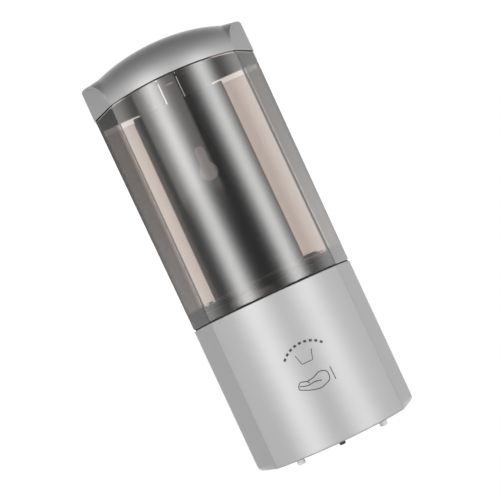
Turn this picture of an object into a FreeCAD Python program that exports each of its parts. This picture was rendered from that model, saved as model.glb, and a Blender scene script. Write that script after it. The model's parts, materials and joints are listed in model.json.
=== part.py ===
import FreeCAD, Part
import math
import os
import re

import Sketcher
from FreeCAD import Placement, Rotation, Vector

# Wall mounted automatic soap dispenser, in millimetres.
# Frame: X to the right, Y towards the wall, Z up. The wall is the plane Y = 0, and the origin is
# the middle of the casing's lower back edge. The front faces -Y.

SIZES = {
    # casing outline, seen from above
    "case_depth": 95.0,
    "crease_half": 41.85,
    "crease_depth": 79.0,
    "side_depth": 58.5,
    "half_bottom": 52.35,
    "half_seam": 53.0,
    "half_top": 54.65,
    # heights of the two seams
    "seam_low": 95.5,
    "seam_high": 241.0,
    "seam_gap": 0.4,
    # base
    "corner_round": 4.5,
    "cover_wall": 2.2,
    "back_wall": 2.5,
    "tray_depth": 30.0,
    # tank
    "tank_wall": 2.4,
    "tank_back": 6.0,
    "tank_floor": 101.5,
    "recess_half": 30.0,
    "recess_depth": 18.0,
    # rear spine and keyholes
    "spine_half": 29.6,
    "spine_top": 244.5,
    "flange_depth": 14.0,
    "key_head": 6.4,
    "key_slot": 3.3,
    "key_rise": 15.3,
    "key_upper": 191.0,
    "key_pitch": 120.0,
    # lid and its hinge
    "lid_crown": 26.5,
    "lid_ear": 20.0,
    "lid_half": 55.0,
    "lid_wall": 2.2,
    "lid_back": 1.5,
    "lid_back_round": 5.0,
    "roll_middle": 26.0,
    "roll_side": 20.5,
    "hinge_depth": 7.0,
    "hinge_height": 260.0,
    "pin_radius": 1.25,
    "lug_half": 6.2,
    "running_gap": 0.05,
    # battery compartment
    "cell_radius": 7.1,
    "cell_length": 50.5,
    "cell_pitch": 15.0,
    "cell_depth": 16.0,
    "box_half": 32.0,
    "box_top": 62.0,
    "door_hinge_depth": 27.0,
    "door_hinge_height": 1.4,
    # gear train and pump
    "pump_depth": 56.0,
    "shaft_radius": 1.5,
    "pump_module": 0.9,
    "pump_teeth": 12,
    "drive_module": 0.5,
    "wheel_teeth": 45,
    "pinion_teeth": 15,
    "pump_low": 24.0,
    "pump_high": 38.0,
    "cover_high": 40.5,
    "bracket_low": 48.0,
    "bracket_high": 50.0,
    "motor_radius": 10.0,
    "motor_top": 75.0,
    # soap line
    "outlet_side": 34.0,
    "outlet_depth": 36.0,
    "port_height": 31.5,
    "tube_outer": 3.0,
    "tube_inner": 2.05,
    "nipple_radius": 1.98,
    "nozzle_depth": 78.0,
    "nozzle_drop": 3.3,
    # sensor, feet and electronics
    "sensor_depth": 52.0,
    "foot_drop": 3.6,
    "foot_radius": 2.5,
    "front_foot_side": 27.0,
    "rear_foot_side": 44.0,
    "rear_foot_depth": 16.0,
    "board_side": 38.0,
    "board_thick": 1.6,
    "switch_side": 26.0,
    "switch_depth": 44.0,
    # fasteners
    "thread_radius": 1.5,
    "thread_gap": 0.05,
    "head_radius": 2.8,
    "head_height": 1.9,
}

UPRIGHT = Rotation()
FORWARD = Rotation(Vector(1, 0, 0), 90)      # local Z points to -Y, towards the front
BACKWARD = Rotation(Vector(1, 0, 0), -90)    # local Z points to +Y, towards the wall
SIDEWAYS = Rotation(Vector(0, 1, 0), 90)     # local Z points to +X
INVERTED = Rotation(Vector(1, 0, 0), 180)    # local Z points down
REACH = 60                                   # past the casing on every side
LID_FRONT = 110                              # in front of the casing

doc = FreeCAD.newDocument("soap_dispenser")
sheet = doc.addObject("Spreadsheet::Sheet", "Sizes")
for row, (alias, value) in enumerate(SIZES.items(), start=1):
    sheet.set(f"A{row}", alias)
    sheet.set(f"B{row}", str(value))
    sheet.setAlias(f"B{row}", alias)
doc.recompute()

pieces = []


# ---------------------------------------------------------------- expressions and placement

def formula(text):
    """The same arithmetic, with every alias named through the sheet."""
    return re.sub(r"[a-z]\w*", lambda word: f"Sizes.{word[0]}" if word[0] in SIZES else word[0], str(text))


def number(text):
    """The value of an arithmetic expression on the sheet."""
    return float(sheet.evalExpression(formula(text)))


def bind(item, **fields):
    """Bind properties of a document object to expressions on the sheet."""
    for field, text in fields.items():
        item.setExpression(field, formula(text))
    return item


def place(item, at, turn=UPRIGHT):
    """Turn an object, and bind its position to the sheet."""
    item.Placement = Placement(Vector(*(number(text) for text in at)), turn)
    for letter, text in zip("xyz", at):
        item.setExpression(f"Placement.Base.{letter}", formula(text))
    return item


def piece(item, label=None):
    """Mark an object as a finished sub-part."""
    item.Label = label or item.Name
    pieces.append(item)
    return item


# ---------------------------------------------------------------- solids and booleans

def block(name, x, y, z):
    """A box between two limits along each axis."""
    item = doc.addObject("Part::Box", name)
    sides = [f"({high}) - ({low})" for low, high in (x, y, z)]
    bind(item, Length=sides[0], Width=sides[1], Height=sides[2])
    return place(item, (x[0], y[0], z[0]))


def rod(name, radius, length, at, turn=UPRIGHT):
    """A cylinder that starts at a point and runs along its own Z."""
    item = doc.addObject("Part::Cylinder", name)
    bind(item, Radius=radius, Height=length)
    return place(item, at, turn)


def join(name, *items):
    """The union of several objects."""
    item = doc.addObject("Part::MultiFuse", name)
    item.Shapes = list(items)
    item.Refine = True
    return item


def cut(name, base, *tools):
    """One object less all the others."""
    item = doc.addObject("Part::Cut", name)
    item.Base = base
    item.Tool = tools[0] if len(tools) == 1 else join(f"{name}_tools", *tools)
    item.Refine = True
    return item


def overlap(name, first, second):
    """The space that two objects share."""
    item = doc.addObject("Part::Common", name)
    item.Base = first
    item.Tool = second
    item.Refine = True
    return item


def copies(name, original, places, turn=UPRIGHT):
    """Identical pieces, kept together as separate solids."""
    links = []
    for index, at in enumerate(places):
        link = doc.addObject("App::Link", f"{name}_{index}")
        link.LinkedObject = original
        links.append(place(link, at, turn))
    group = doc.addObject("Part::Compound", name)
    group.Links = links
    return group


# ---------------------------------------------------------------- sketches

def dimension(sketch, kind, index, point, text):
    """Hold one coordinate of a sketch point, from the sketch's own origin."""
    value = number(text)
    if abs(value) < 1e-9:
        axis = -2 if kind == "DistanceX" else -1
        sketch.addConstraint(Sketcher.Constraint("PointOnObject", index, point, axis))
        return
    held = sketch.addConstraint(Sketcher.Constraint(kind, -1, 1, index, point, value))
    sketch.setExpression(f"Constraints[{held}]", formula(text))


def polygon(sketch, corners, arcs=None):
    """Close an outline through the corners; arcs gives (middle point, radius) by edge number."""
    arcs = arcs or {}
    points = [Vector(number(x), number(y), 0) for x, y in corners]
    first = sketch.GeometryCount
    count = len(points)
    for index, start in enumerate(points):
        end = points[(index + 1) % count]
        if index in arcs:
            middle = Vector(*(number(text) for text in arcs[index][0]), 0)
            sketch.addGeometry(Part.Arc(start, middle, end))
        else:
            sketch.addGeometry(Part.LineSegment(start, end))
    ends = []
    for index, start in enumerate(points):
        near_start = sketch.getPoint(first + index, 1).distanceToPoint(start) < 1e-6
        ends.append((1, 2) if near_start else (2, 1))
    for index, (x, y) in enumerate(corners):
        following = (index + 1) % count
        sketch.addConstraint(Sketcher.Constraint(
            "Coincident", first + index, ends[index][1], first + following, ends[following][0]))
        dimension(sketch, "DistanceX", first + index, ends[index][0], x)
        dimension(sketch, "DistanceY", first + index, ends[index][0], y)
    for index, (middle, radius) in arcs.items():
        held = sketch.addConstraint(Sketcher.Constraint("Radius", first + index, number(radius)))
        sketch.setExpression(f"Constraints[{held}]", formula(radius))


def circle(sketch, x, y, radius):
    """A circle held by its centre and radius."""
    index = sketch.addGeometry(Part.Circle(Vector(number(x), number(y), 0), Vector(0, 0, 1), number(radius)))
    dimension(sketch, "DistanceX", index, 3, x)
    dimension(sketch, "DistanceY", index, 3, y)
    held = sketch.addConstraint(Sketcher.Constraint("Radius", index, number(radius)))
    sketch.setExpression(f"Constraints[{held}]", formula(radius))


def rectangle(x, y):
    """The corners of a rectangle between two limits along each axis."""
    return [(x[0], y[0]), (x[1], y[0]), (x[1], y[1]), (x[0], y[1])]


def body_sketch(name, role):
    """A body with one sketch on one of its own origin planes."""
    body = doc.addObject("PartDesign::Body", name)
    sketch = body.newObject("Sketcher::SketchObject", f"{name}_sketch")
    plane = next(item for item in body.Origin.OriginFeatures if item.Role == role)
    sketch.AttachmentSupport = [(plane, "")]
    sketch.MapMode = "FlatFace"
    return body, sketch


def turned(name, profile, at=(0, 0, 0), turn=UPRIGHT):
    """A body turned about its own Z from a profile of (radius, height) corners."""
    body, sketch = body_sketch(name, "XZ_Plane")
    polygon(sketch, profile)
    turning = body.newObject("PartDesign::Revolution", f"{name}_turning")
    turning.Profile = sketch
    turning.ReferenceAxis = (sketch, ["V_Axis"])
    turning.Angle = 360
    return place(body, at, turn)


def plate(name, corners, at, thickness, holes=(), arcs=None, turn=UPRIGHT):
    """A body padded from an outline, with round holes given as (x, y, radius)."""
    body, sketch = body_sketch(name, "XY_Plane")
    polygon(sketch, corners, arcs)
    for x, y, radius in holes:
        circle(sketch, x, y, radius)
    pad = body.newObject("PartDesign::Pad", f"{name}_pad")
    pad.Profile = sketch
    bind(pad, Length=thickness)
    return place(body, at, turn)


def disc(name, radius, thickness, at, holes=(), turn=UPRIGHT):
    """A round body with round holes."""
    body, sketch = body_sketch(name, "XY_Plane")
    for x, y, size in ((0, 0, radius), *holes):
        circle(sketch, x, y, size)
    pad = body.newObject("PartDesign::Pad", f"{name}_pad")
    pad.Profile = sketch
    bind(pad, Length=thickness)
    return place(body, at, turn)


def screw(name, length, radius="thread_radius", head="head_radius", height="head_height"):
    """A pan head screw along its own Z: the shank from 0 up, the head below 0."""
    body = turned(name, [
        (0, f"-({height})"), (f"0.7*({head})", f"-({height})"), (head, f"-0.4*({height})"), (head, 0),
        (radius, 0), (radius, f"({length}) - 0.6*({radius})"), (f"0.5*({radius})", length), (0, length)])
    slot_sketch = body.newObject("Sketcher::SketchObject", f"{name}_slot_sketch")
    plane = next(item for item in body.Origin.OriginFeatures if item.Role == "XY_Plane")
    slot_sketch.AttachmentSupport = [(plane, "")]
    slot_sketch.MapMode = "FlatFace"
    slot_sketch.AttachmentOffset = Placement(Vector(0, 0, -number(height)), Rotation())
    arm, half = f"0.62*({head})", f"0.14*({head})"
    polygon(slot_sketch, [
        (f"-{arm}", f"-{half}"), (f"-{half}", f"-{half}"), (f"-{half}", f"-{arm}"), (half, f"-{arm}"),
        (half, f"-{half}"), (arm, f"-{half}"), (arm, half), (half, half), (half, arm), (f"-{half}", arm),
        (f"-{half}", half), (f"-{arm}", half)])
    slot = body.newObject("PartDesign::Pocket", f"{name}_slot")
    slot.Profile = slot_sketch
    slot.Reversed = True
    bind(slot, Length=f"0.5*({height})")
    return body


# ---------------------------------------------------------------- casing outline

FRONT_RISE = "(case_depth - crease_depth)"
FRONT_RADIUS = f"(crease_half^2 + {FRONT_RISE}^2) / (2*{FRONT_RISE})"


def outline(name, half, height):
    """The casing seen from above: flat sides, flat facets and a bowed front."""
    sketch = doc.addObject("Sketcher::SketchObject", name)
    corners = [(f"-({half})", 0), (f"-({half})", "-side_depth"), ("-crease_half", "-crease_depth"),
               ("crease_half", "-crease_depth"), (half, "-side_depth"), (half, 0)]
    polygon(sketch, corners, {2: ((0, "-case_depth"), FRONT_RADIUS)})
    return place(sketch, (0, 0, height))


def extrude(name, sketch, direction, length):
    """A solid from a closed sketch, along a direction."""
    item = doc.addObject("Part::Extrusion", name)
    item.Base = sketch
    item.DirMode = "Custom"
    item.Dir = direction
    item.Solid = True
    return bind(item, LengthFwd=length)


def moved_in(name, sketch, inset):
    """The same outline, moved inwards."""
    item = doc.addObject("Part::Offset2D", name)
    item.Source = sketch
    return bind(item, Value=f"-({inset})")


def case_form(name, low, high, inset=0):
    """A solid between two outlines, each (half width, height), moved inwards by the inset."""
    sections = []
    for end, (half, height) in (("low", low), ("high", high)):
        section = outline(f"{name}_{end}", half, height)
        if inset:
            section = moved_in(f"{name}_{end}_inset", section, inset)
        sections.append(section)
    loft = doc.addObject("Part::Loft", name)
    loft.Sections = sections
    loft.Solid = True
    loft.Ruled = True
    return loft


BASE_HALF = "half_bottom + (half_seam - half_bottom)*({})/seam_low"
BASE_TOP = "seam_low - seam_gap"
TANK_LOW = "seam_low + seam_gap"
TANK_HIGH = "seam_high - seam_gap"
TANK_FLOOR_TOP = "tank_floor + tank_wall"
SIDE_POST = 44
COVER_SCREW_HEIGHTS = (14, 84)
FRONT_FEET = [("-front_foot_side", "-crease_depth"), ("front_foot_side", "-crease_depth")]
REAR_FEET = [("-rear_foot_side", "-rear_foot_depth"), ("rear_foot_side", "-rear_foot_depth")]
TANK_SCREWS = [(-44, -24), (44, -24), (-36, -66), (36, -66)]
DECK_SCREWS = [(-44, -44), (44, -44)]
BRACKET_LEGS = [(-16, -69.5), (34, -69.5), (-16, -42.5), (34, -44)]
PUMP_SCREWS = [(side, f"-pump_depth + {step}") for side in (-11.5, 11.5) for step in (-6.5, 6.5)]
BOARD_SCREWS = [(-66, 26), (-66, 64), (-40, 26), (-40, 64)]
SPINDLE = "pump_module*pump_teeth/2"
MOTOR_SIDE = f"{SPINDLE} + drive_module*(wheel_teeth + pinion_teeth)/2"


def base_plan(name, inset=0):
    """The base seen from above, as a tall prism whose flat sides stand clear of the tapered ones."""
    sketch = doc.addObject("Sketcher::SketchObject", f"{name}_sketch")
    wide = "half_seam + 2"
    corner = "-side_depth + 2*(crease_depth - side_depth)/(half_seam - crease_half)"
    polygon(sketch, [(f"-({wide})", 0), (f"-({wide})", corner), ("-crease_half", "-crease_depth"),
                     ("crease_half", "-crease_depth"), (wide, corner), (wide, 0)],
            {2: ((0, "-case_depth"), FRONT_RADIUS)})
    place(sketch, (0, 0, -5))
    section = moved_in(f"{name}_inset", sketch, inset) if inset else sketch
    return extrude(name, section, Vector(0, 0, 1), "seam_low + 15")


def base_front(name, corners, arcs=None):
    """A front view of the base, as a prism from the wall past the front."""
    sketch = doc.addObject("Sketcher::SketchObject", f"{name}_sketch")
    polygon(sketch, corners, arcs)
    place(sketch, (0, 10, 0), FORWARD)
    return extrude(name, sketch, Vector(0, -1, 0), "case_depth + 20")


def base_outer():
    """The base's outer form: tapered sides, and two lower corners rounded in the front view."""
    edge = BASE_HALF.format("corner_round")
    inner = f"({edge} - corner_round)"
    middle = f"({inner} + corner_round*{math.sin(math.pi / 4):.6f})"
    low = f"corner_round*{1 - math.sin(math.pi / 4):.6f}"
    front = base_front("base_view", [
        ("-half_seam", BASE_TOP), (f"-({edge})", "corner_round"), (f"-{inner}", 0), (inner, 0),
        (edge, "corner_round"), ("half_seam", BASE_TOP)],
        {1: ((f"-{middle}", low), "corner_round"), 3: ((middle, low), "corner_round")})
    return overlap("base_outer", base_plan("base_plan"), front)


def base_hollow():
    """The space inside the base's walls, open above."""
    low = BASE_HALF.format("cover_wall") + " - cover_wall"
    high = "half_seam - cover_wall"
    front = base_front("hollow_view", [(f"-({high})", "seam_low"), (f"-({low})", "cover_wall"),
                                       (low, "cover_wall"), (high, "seam_low")])
    return overlap("base_hollow", base_plan("hollow_plan", "cover_wall"), front)


def keyhole(name, height):
    """The space of a keyhole: a round head with a narrower slot above it."""
    deep = "back_wall + 2"
    return [
        rod(f"{name}_head", "key_head", deep, (0, 1, height), FORWARD),
        rod(f"{name}_end", "key_slot", deep, (0, 1, f"{height} + key_rise"), FORWARD),
        block(f"{name}_slot", ("-key_slot", "key_slot"), ("-back_wall - 1", 1), (height, f"{height} + key_rise")),
    ]


# ---------------------------------------------------------------- rear frame and front cover

def build_casing():
    """The rear frame and the front cover, which share the base's outer form."""
    outer = base_outer()
    hollow = base_hollow()

    rear_space = block("rear_space", (-REACH, REACH), ("-tray_depth", 5), (-5, "seam_low + 5"))
    tray_form = overlap("tray_form", outer, rear_space)
    front_of_back = block("front_of_back", (-REACH, REACH), ("-case_depth - 5", "-back_wall"),
                          (-5, "seam_low + 5"))
    tray_hollow = overlap("tray_hollow", hollow, front_of_back)
    tray = cut("tray", tray_form, tray_hollow)
    additions = [tray]
    for side, sign in (("left", -1), ("right", 1)):
        additions.append(block(
            f"spine_flange_{side}", sorted((f"{sign}*(spine_half - 2)", f"{sign}*spine_half"), key=number),
            ("-flange_depth", "-back_wall + 0.1"), ("box_top + 2", "spine_top - 5")))
        for height in COVER_SCREW_HEIGHTS:
            additions.append(rod(f"tray_post_{side}_{height}", 4.6, "tray_depth - 1",
                                 (sign * SIDE_POST, -1, height), FORWARD))
    additions += [
        block("spine_plate", ("-spine_half", "spine_half"), ("-back_wall", 0), ("seam_low - 5", "spine_top")),
        block("spine_shelf", ("-recess_half + 0.3", "recess_half - 0.3"),
              ("-recess_depth + 0.3", "-back_wall + 0.1"), ("seam_low - 2.6", BASE_TOP)),
        block("lug_neck", ("-lug_half", "lug_half"), ("-hinge_depth - 3.2", "-back_wall + 0.1"),
              ("spine_top - 8", "spine_top")),
        block("lug_stem", ("-lug_half", "lug_half"), ("-hinge_depth - 3.2", "-hinge_depth + 3.2"),
              ("spine_top - 1", "hinge_height")),
        block("lug_block", ("-lug_half", "lug_half"), ("-hinge_depth - 3.2", "-hinge_depth + 3.2"),
              ("hinge_height - 9", "hinge_height")),
        rod("lug_barrel", 3.2, "2*lug_half", ("-lug_half", "-hinge_depth", "hinge_height"), SIDEWAYS),
        block("door_pin_seat_left", ("-box_half + 5", -20.3), ("-tray_depth + 0.4", "-door_hinge_depth + 1.6"),
              (0.2, 4)),
        block("door_pin_seat_right", (20.3, "box_half - 5"), ("-tray_depth + 0.4", "-door_hinge_depth + 1.6"),
              (0.2, 4)),
    ]
    openings = [
        block("battery_opening", ("-box_half - 0.5", "box_half + 0.5"), ("-door_hinge_depth + 1.3", -6.5),
              (-5, "cover_wall + 0.1")),
        block("door_barrel_space", (-20.3, 20.3), ("-door_hinge_depth - 1.6", "-door_hinge_depth + 1.7"),
              (-5, 5)),
        rod("door_pin_space", 0.65, 50, (-25, "-door_hinge_depth", "door_hinge_height"), SIDEWAYS),
        rod("lug_pin_space", "pin_radius", 20, (-10, "-hinge_depth", "hinge_height"), SIDEWAYS),
        block("lug_slot", (-2.8, 2.8), ("-hinge_depth - 4", "-hinge_depth + 4"),
              ("hinge_height - 5.4", "hinge_height - 4.2")),
        *keyhole("upper_key", "key_upper"),
        *keyhole("lower_key", "(key_upper - key_pitch)"),
    ]
    for side, sign in (("left", -1), ("right", 1)):
        for height in COVER_SCREW_HEIGHTS:
            at = (sign * SIDE_POST, 1, height)
            openings.append(rod(f"post_hole_{side}_{height}", "thread_radius + 0.2", "tray_depth + 5", at, FORWARD))
            openings.append(rod(f"post_bore_{side}_{height}", "head_radius + 0.3", "tray_depth - 5", at, FORWARD))
    for index, (x, y) in enumerate(REAR_FEET):
        openings.append(rod(f"rear_foot_hole_{index}", 1.55, 10, (x, y, -2)))
    frame = join("rear_frame_solid", *additions)
    piece(cut("rear_frame", overlap("rear_frame_trimmed", frame, frame_limits()), *openings))

    front_space = block("front_space", (-REACH, REACH), ("-case_depth - 5", "-tray_depth"),
                        (-5, "seam_low + 5"))
    shell = cut("cover_shell", overlap("cover_form", outer, front_space), hollow)
    bosses = []
    for index, (x, y) in enumerate(BRACKET_LEGS):
        bosses.append(rod(f"bracket_leg_{index}", 3.5, "bracket_low - 1", (x, y, 1)))
    for index, (x, y) in enumerate(PUMP_SCREWS):
        bosses.append(rod(f"pump_seat_{index}", 2.4, "pump_low - 1", (x, y, 1)))
    for index, (y, z) in enumerate(BOARD_SCREWS):
        bosses.append(rod(f"board_boss_{index}", 2.6, 15, ("-board_side - 15", y, z), SIDEWAYS))
    for index, (x, y) in enumerate(DECK_SCREWS):
        bosses.append(rod(f"deck_boss_{index}", 3.6, 16, (x, y, "seam_low - 19")))
    for side, sign in (("left", -1), ("right", 1)):
        for index, (x, y) in enumerate(DECK_SCREWS):
            if sign * x > 0:
                bosses.append(block(f"deck_rib_{side}", sorted((x, sign * 51.5)), (y - 1, y + 1),
                                    ("seam_low - 19", "seam_low - 3")))
        for height in COVER_SCREW_HEIGHTS:
            bosses.append(rod(f"cover_boss_{side}_{height}", 4.6, 12, (sign * SIDE_POST, "-tray_depth", height),
                              FORWARD))
            bosses.append(block(f"cover_boss_rib_{side}_{height}", sorted((sign * SIDE_POST, sign * 51.5)),
                                ("-tray_depth - 12", "-tray_depth"), (height - 1, height + 1)))
    kept_bosses = overlap("cover_bosses", join("cover_boss_set", *bosses), outer)
    holes = [
        rod("nozzle_hole", 5.3, 10, (0, "-nozzle_depth", -2)),
        block("window_hole", (-7.1, 7.1), ("-sensor_depth - 4.6", "-sensor_depth + 4.6"), (-2, 5)),
        block("switch_hole", ("-switch_side - 2.2", "-switch_side + 2.2"),
              ("-switch_depth - 4.2", "-switch_depth + 4.2"), (-2, 5)),
        rod("status_hole", 1.55, 10, (14, -74, -2)),
    ]
    for index, (x, y) in enumerate(FRONT_FEET):
        holes.append(rod(f"front_foot_hole_{index}", 1.55, 10, (x, y, -2)))
    for index, (x, y) in enumerate(BRACKET_LEGS):
        holes.append(rod(f"leg_hole_{index}", "thread_radius + thread_gap", 14, (x, y, "bracket_low - 13")))
    for index, (x, y) in enumerate(PUMP_SCREWS):
        holes.append(rod(f"seat_hole_{index}", 1.3, 10, (x, y, "pump_low - 9")))
    for index, (y, z) in enumerate(BOARD_SCREWS):
        holes.append(rod(f"board_hole_{index}", 1.3, 8, ("-board_side - 7", y, z), SIDEWAYS))
    for index, (x, y) in enumerate(DECK_SCREWS):
        holes.append(rod(f"deck_hole_{index}", "thread_radius + thread_gap", 16, (x, y, "seam_low - 17")))
    for side, sign in (("left", -1), ("right", 1)):
        for height in COVER_SCREW_HEIGHTS:
            holes.append(rod(f"cover_hole_{side}_{height}", "thread_radius + thread_gap", 12,
                             (sign * SIDE_POST, "-tray_depth + 1", height), FORWARD))
    cover = join("cover_with_bosses", shell, kept_bosses)
    piece(cut("front_cover", cover, *holes))

    pattern = screw("cover_screw", 14)
    places = [(sign * SIDE_POST, "-tray_depth + 6", height) for sign in (-1, 1) for height in COVER_SCREW_HEIGHTS]
    piece(copies("cover_screws", pattern, places, FORWARD))


def frame_limits():
    """The space that the rear frame may fill."""
    low = block("limit_low", (-REACH, REACH), ("-tray_depth", 0), (0, BASE_TOP))
    high = block("limit_high", (-REACH, REACH), ("-recess_depth", 0), (BASE_TOP, "hinge_height + 10"))
    return join("frame_limits", low, high)


def build_feet():
    """Four soft feet, each with a stem pushed into the floor."""
    foot = turned("foot", [(0, "-foot_drop"), ("foot_radius - 0.4", "-foot_drop"),
                           ("foot_radius", "-foot_drop + 0.5"), ("foot_radius", 0), (1.5, 0),
                           (1.5, "cover_wall + 1"), (0, "cover_wall + 1")])
    piece(copies("feet", foot, [(x, y, 0) for x, y in FRONT_FEET + REAR_FEET]))


# ---------------------------------------------------------------- deck and tank

def build_deck():
    """The deck closes the base, and its boss stands up inside the tank's skirt."""
    low = case_form("deck_low", ("half_seam", "seam_low - 3"), ("half_seam", BASE_TOP), "cover_wall + 0.3")
    middle = case_form("deck_middle", ("half_seam", "seam_low - 1"), ("half_seam", "seam_low + 1"),
                       "cover_wall + 1.1")
    boss = case_form("deck_boss", ("half_seam", TANK_LOW), ("half_seam", "tank_floor - 0.3"),
                     "tank_wall + 0.4")
    under = case_form("deck_under", ("half_seam", "seam_low - 4"), ("half_seam", "tank_floor - 2.8"), 6)
    rear_low = block("deck_rear_low", (-REACH, REACH), ("-back_wall - 0.2", 5), (80, BASE_TOP))
    rear_high = block("deck_rear_high", (-REACH, REACH), ("-tank_back - tank_wall - 0.3", 5),
                      (BASE_TOP, "tank_floor"))
    recess = block("deck_recess", ("-recess_half - 2.8", "recess_half + 2.8"),
                   ("-recess_depth - 2.8", 5), (80, "tank_floor"))
    seats = []
    bores = [rod("deck_spigot_bore", 5, 20, ("outlet_side", "-outlet_depth", "seam_low - 8"))]
    for index, (x, y) in enumerate(DECK_SCREWS):
        seats.append(rod(f"deck_seat_{index}", 4.5, 6, (x, y, "seam_low - 3")))
        bores.append(rod(f"deck_screw_hole_{index}", "thread_radius + 0.2", 20, (x, y, "seam_low - 6")))
        bores.append(rod(f"deck_screw_bore_{index}", "head_radius + 0.3", 10, (x, y, "seam_low + 1.2")))
    for index, (x, y) in enumerate(TANK_SCREWS):
        bores.append(rod(f"deck_tank_hole_{index}", "thread_radius + 0.2", 20, (x, y, "seam_low - 8")))
    shell = join("deck_shell", low, middle, boss)
    hollowed = cut("deck_hollowed", shell, under)
    seated = join("deck_seated", hollowed, *seats)
    piece(cut("deck_plate", seated, rear_low, rear_high, recess, *bores))

    ring = case_form("gasket_outer", ("half_seam", BASE_TOP), ("half_seam", TANK_LOW), 0.9)
    inside = case_form("gasket_inner", ("half_seam", "seam_low - 2"), ("half_seam", "seam_low + 2"),
                       "cover_wall + 1")
    rear = block("gasket_rear", (-REACH, REACH), ("-tank_back - 0.3", 5), (90, 100))
    gasket_recess = block("gasket_recess", ("-recess_half - 2.8", "recess_half + 2.8"),
                          ("-recess_depth - 2.8", 5), (90, 100))
    piece(cut("deck_gasket", ring, inside, rear, gasket_recess))

    pattern = screw("deck_screw", 15)
    piece(copies("deck_screws", pattern, [(x, y, "seam_low + 1.2") for x, y in DECK_SCREWS], INVERTED))


def build_tank():
    """The clear tank: open above, with a recess down its back that leaves room for the spine."""
    outer = case_form("tank_outer", ("half_seam", TANK_LOW), ("half_top", TANK_HIGH))
    inner = case_form("tank_inner", ("half_seam", "seam_low"), ("half_top", "seam_high"), "tank_wall")
    behind = block("tank_behind", (-REACH, REACH), ("-tank_back", 5), (80, 260))
    recess = block("tank_recess", ("-recess_half", "recess_half"), ("-recess_depth", 5), (80, 260))
    form = cut("tank_form", outer, behind, recess)
    inner_behind = block("tank_inner_behind", (-REACH, REACH), ("-tank_back - tank_wall", 5), (80, 260))
    inner_recess = block("tank_inner_recess", ("-recess_half - tank_wall", "recess_half + tank_wall"),
                         ("-recess_depth - tank_wall", 5), (80, 260))
    floor = block("tank_floor_slab", (-REACH, REACH), ("-case_depth", 0), ("tank_floor", TANK_FLOOR_TOP))
    hollow = cut("tank_hollow", inner, inner_behind, inner_recess, floor)
    shell = cut("tank_shell", form, hollow)
    bosses = []
    holes = [rod("outlet_bore", 1.3, 40, ("outlet_side", "-outlet_depth", "tank_floor - 24")),
             rod("outlet_mouth", 3.4, 4, ("outlet_side", "-outlet_depth", "tank_floor + 0.6"))]
    for index, (x, y) in enumerate(TANK_SCREWS):
        bosses.append(rod(f"tank_boss_{index}", 3.8, 4, (x, y, TANK_FLOOR_TOP + " - 0.5")))
        holes.append(rod(f"tank_screw_hole_{index}", "thread_radius + thread_gap", 6, (x, y, "tank_floor - 1")))
    bosses.append(rod("outlet_spigot", 4.3, 14, ("outlet_side", "-outlet_depth", "tank_floor - 13.5")))
    bosses.append(rod("outlet_nipple", "nipple_radius", 12, ("outlet_side", "-outlet_depth", "tank_floor - 23")))
    piece(cut("tank", join("tank_with_bosses", shell, *bosses), *holes))

    pattern = screw("tank_screw", 7.5)
    under = "tank_floor - 2.8"
    piece(copies("tank_screws", pattern, [(x, y, under) for x, y in TANK_SCREWS]))

    basket = turned("strainer_form", [
        (5.0, 0), (6.8, 0), (6.8, 0.9), (6.2, 0.9), (5.6, 4.6), (4.0, 6.0), (0, 6.2), (0, 5.3), (3.8, 5.1),
        (4.7, 4.1), (5.2, 0.9), (5.0, 0.9)], ("outlet_side", "-outlet_depth", TANK_FLOOR_TOP))
    slots = []
    for index in range(6):
        slot = block(f"strainer_slot_{index}", (-8, 8), (-0.45, 0.45), (1.5, 4.2))
        turn = Rotation(Vector(0, 0, 1), 30 * index)
        shift = turn.multVec(Vector(-8, -0.45, 0))
        place(slot, (f"outlet_side + ({shift.x})", f"-outlet_depth + ({shift.y})", f"{TANK_FLOOR_TOP} + 1.5"),
              turn)
        slots.append(slot)
    piece(cut("outlet_strainer", basket, *slots))
    piece(turned("outlet_seal", [(4.32, 0), (4.98, 0), (6.4, -0.02), (6.4, -1.6), (4.32, -1.6)],
                 ("outlet_side", "-outlet_depth", "seam_low - 3")))


# ---------------------------------------------------------------- lid

def lid_form(name, inset):
    """The crowned form of the lid, lofted from side to side through profiles along Y and Z."""
    half, crease = number("half_top"), number("crease_half")
    bottom = number("seam_high + seam_gap") - (2 if inset else 0)
    seat = number("seam_high + seam_gap")
    radius = number(FRONT_RADIUS)
    back = -number("lid_back") - inset
    corner = number("lid_back_round") - inset
    sections = []
    for share in (-1.35, -1, -0.5, 0, 0.5, 1, 1.35):
        x = share * crease
        reach = min(abs(x), crease)
        front = -number("case_depth") + radius - math.sqrt(radius**2 - reach**2)
        blend = (x / half) ** 2
        rise = number("lid_crown - lid_ear") * -blend + number("lid_crown") - inset
        roll = number("roll_middle") - number("roll_middle - roll_side") * min(blend, 1)
        centre = front + roll
        depth = roll - inset
        arc = []
        for step in range(9):
            angle = math.pi / 2 * step / 8
            arc.append(Vector(x, centre - depth * math.cos(angle), seat + rise * math.sin(angle)))
        curve = Part.BSplineCurve()
        curve.interpolate(Points=arc, InitialTangent=Vector(0, 0, 1), FinalTangent=Vector(0, 1, 0))
        top = seat + rise
        turn = Vector(x, back - corner, top)
        fall = Vector(x, back, top - corner)
        middle = Vector(x, back - corner * (1 - math.sin(math.pi / 4)), top - corner * (1 - math.sin(math.pi / 4)))
        base_front = Vector(x, front + inset, bottom)
        base_back = Vector(x, back, bottom)
        edges = [curve.toShape(), Part.LineSegment(arc[-1], turn).toShape(),
                 Part.Arc(turn, middle, fall).toShape(), Part.LineSegment(fall, base_back).toShape(),
                 Part.LineSegment(base_back, base_front).toShape()]
        if inset:
            edges.append(Part.LineSegment(base_front, arc[0]).toShape())
        sections.append(Part.Wire(edges))
    item = doc.addObject("Part::Feature", name)
    item.Shape = Part.makeLoft(sections, True, False)
    return item


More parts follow.
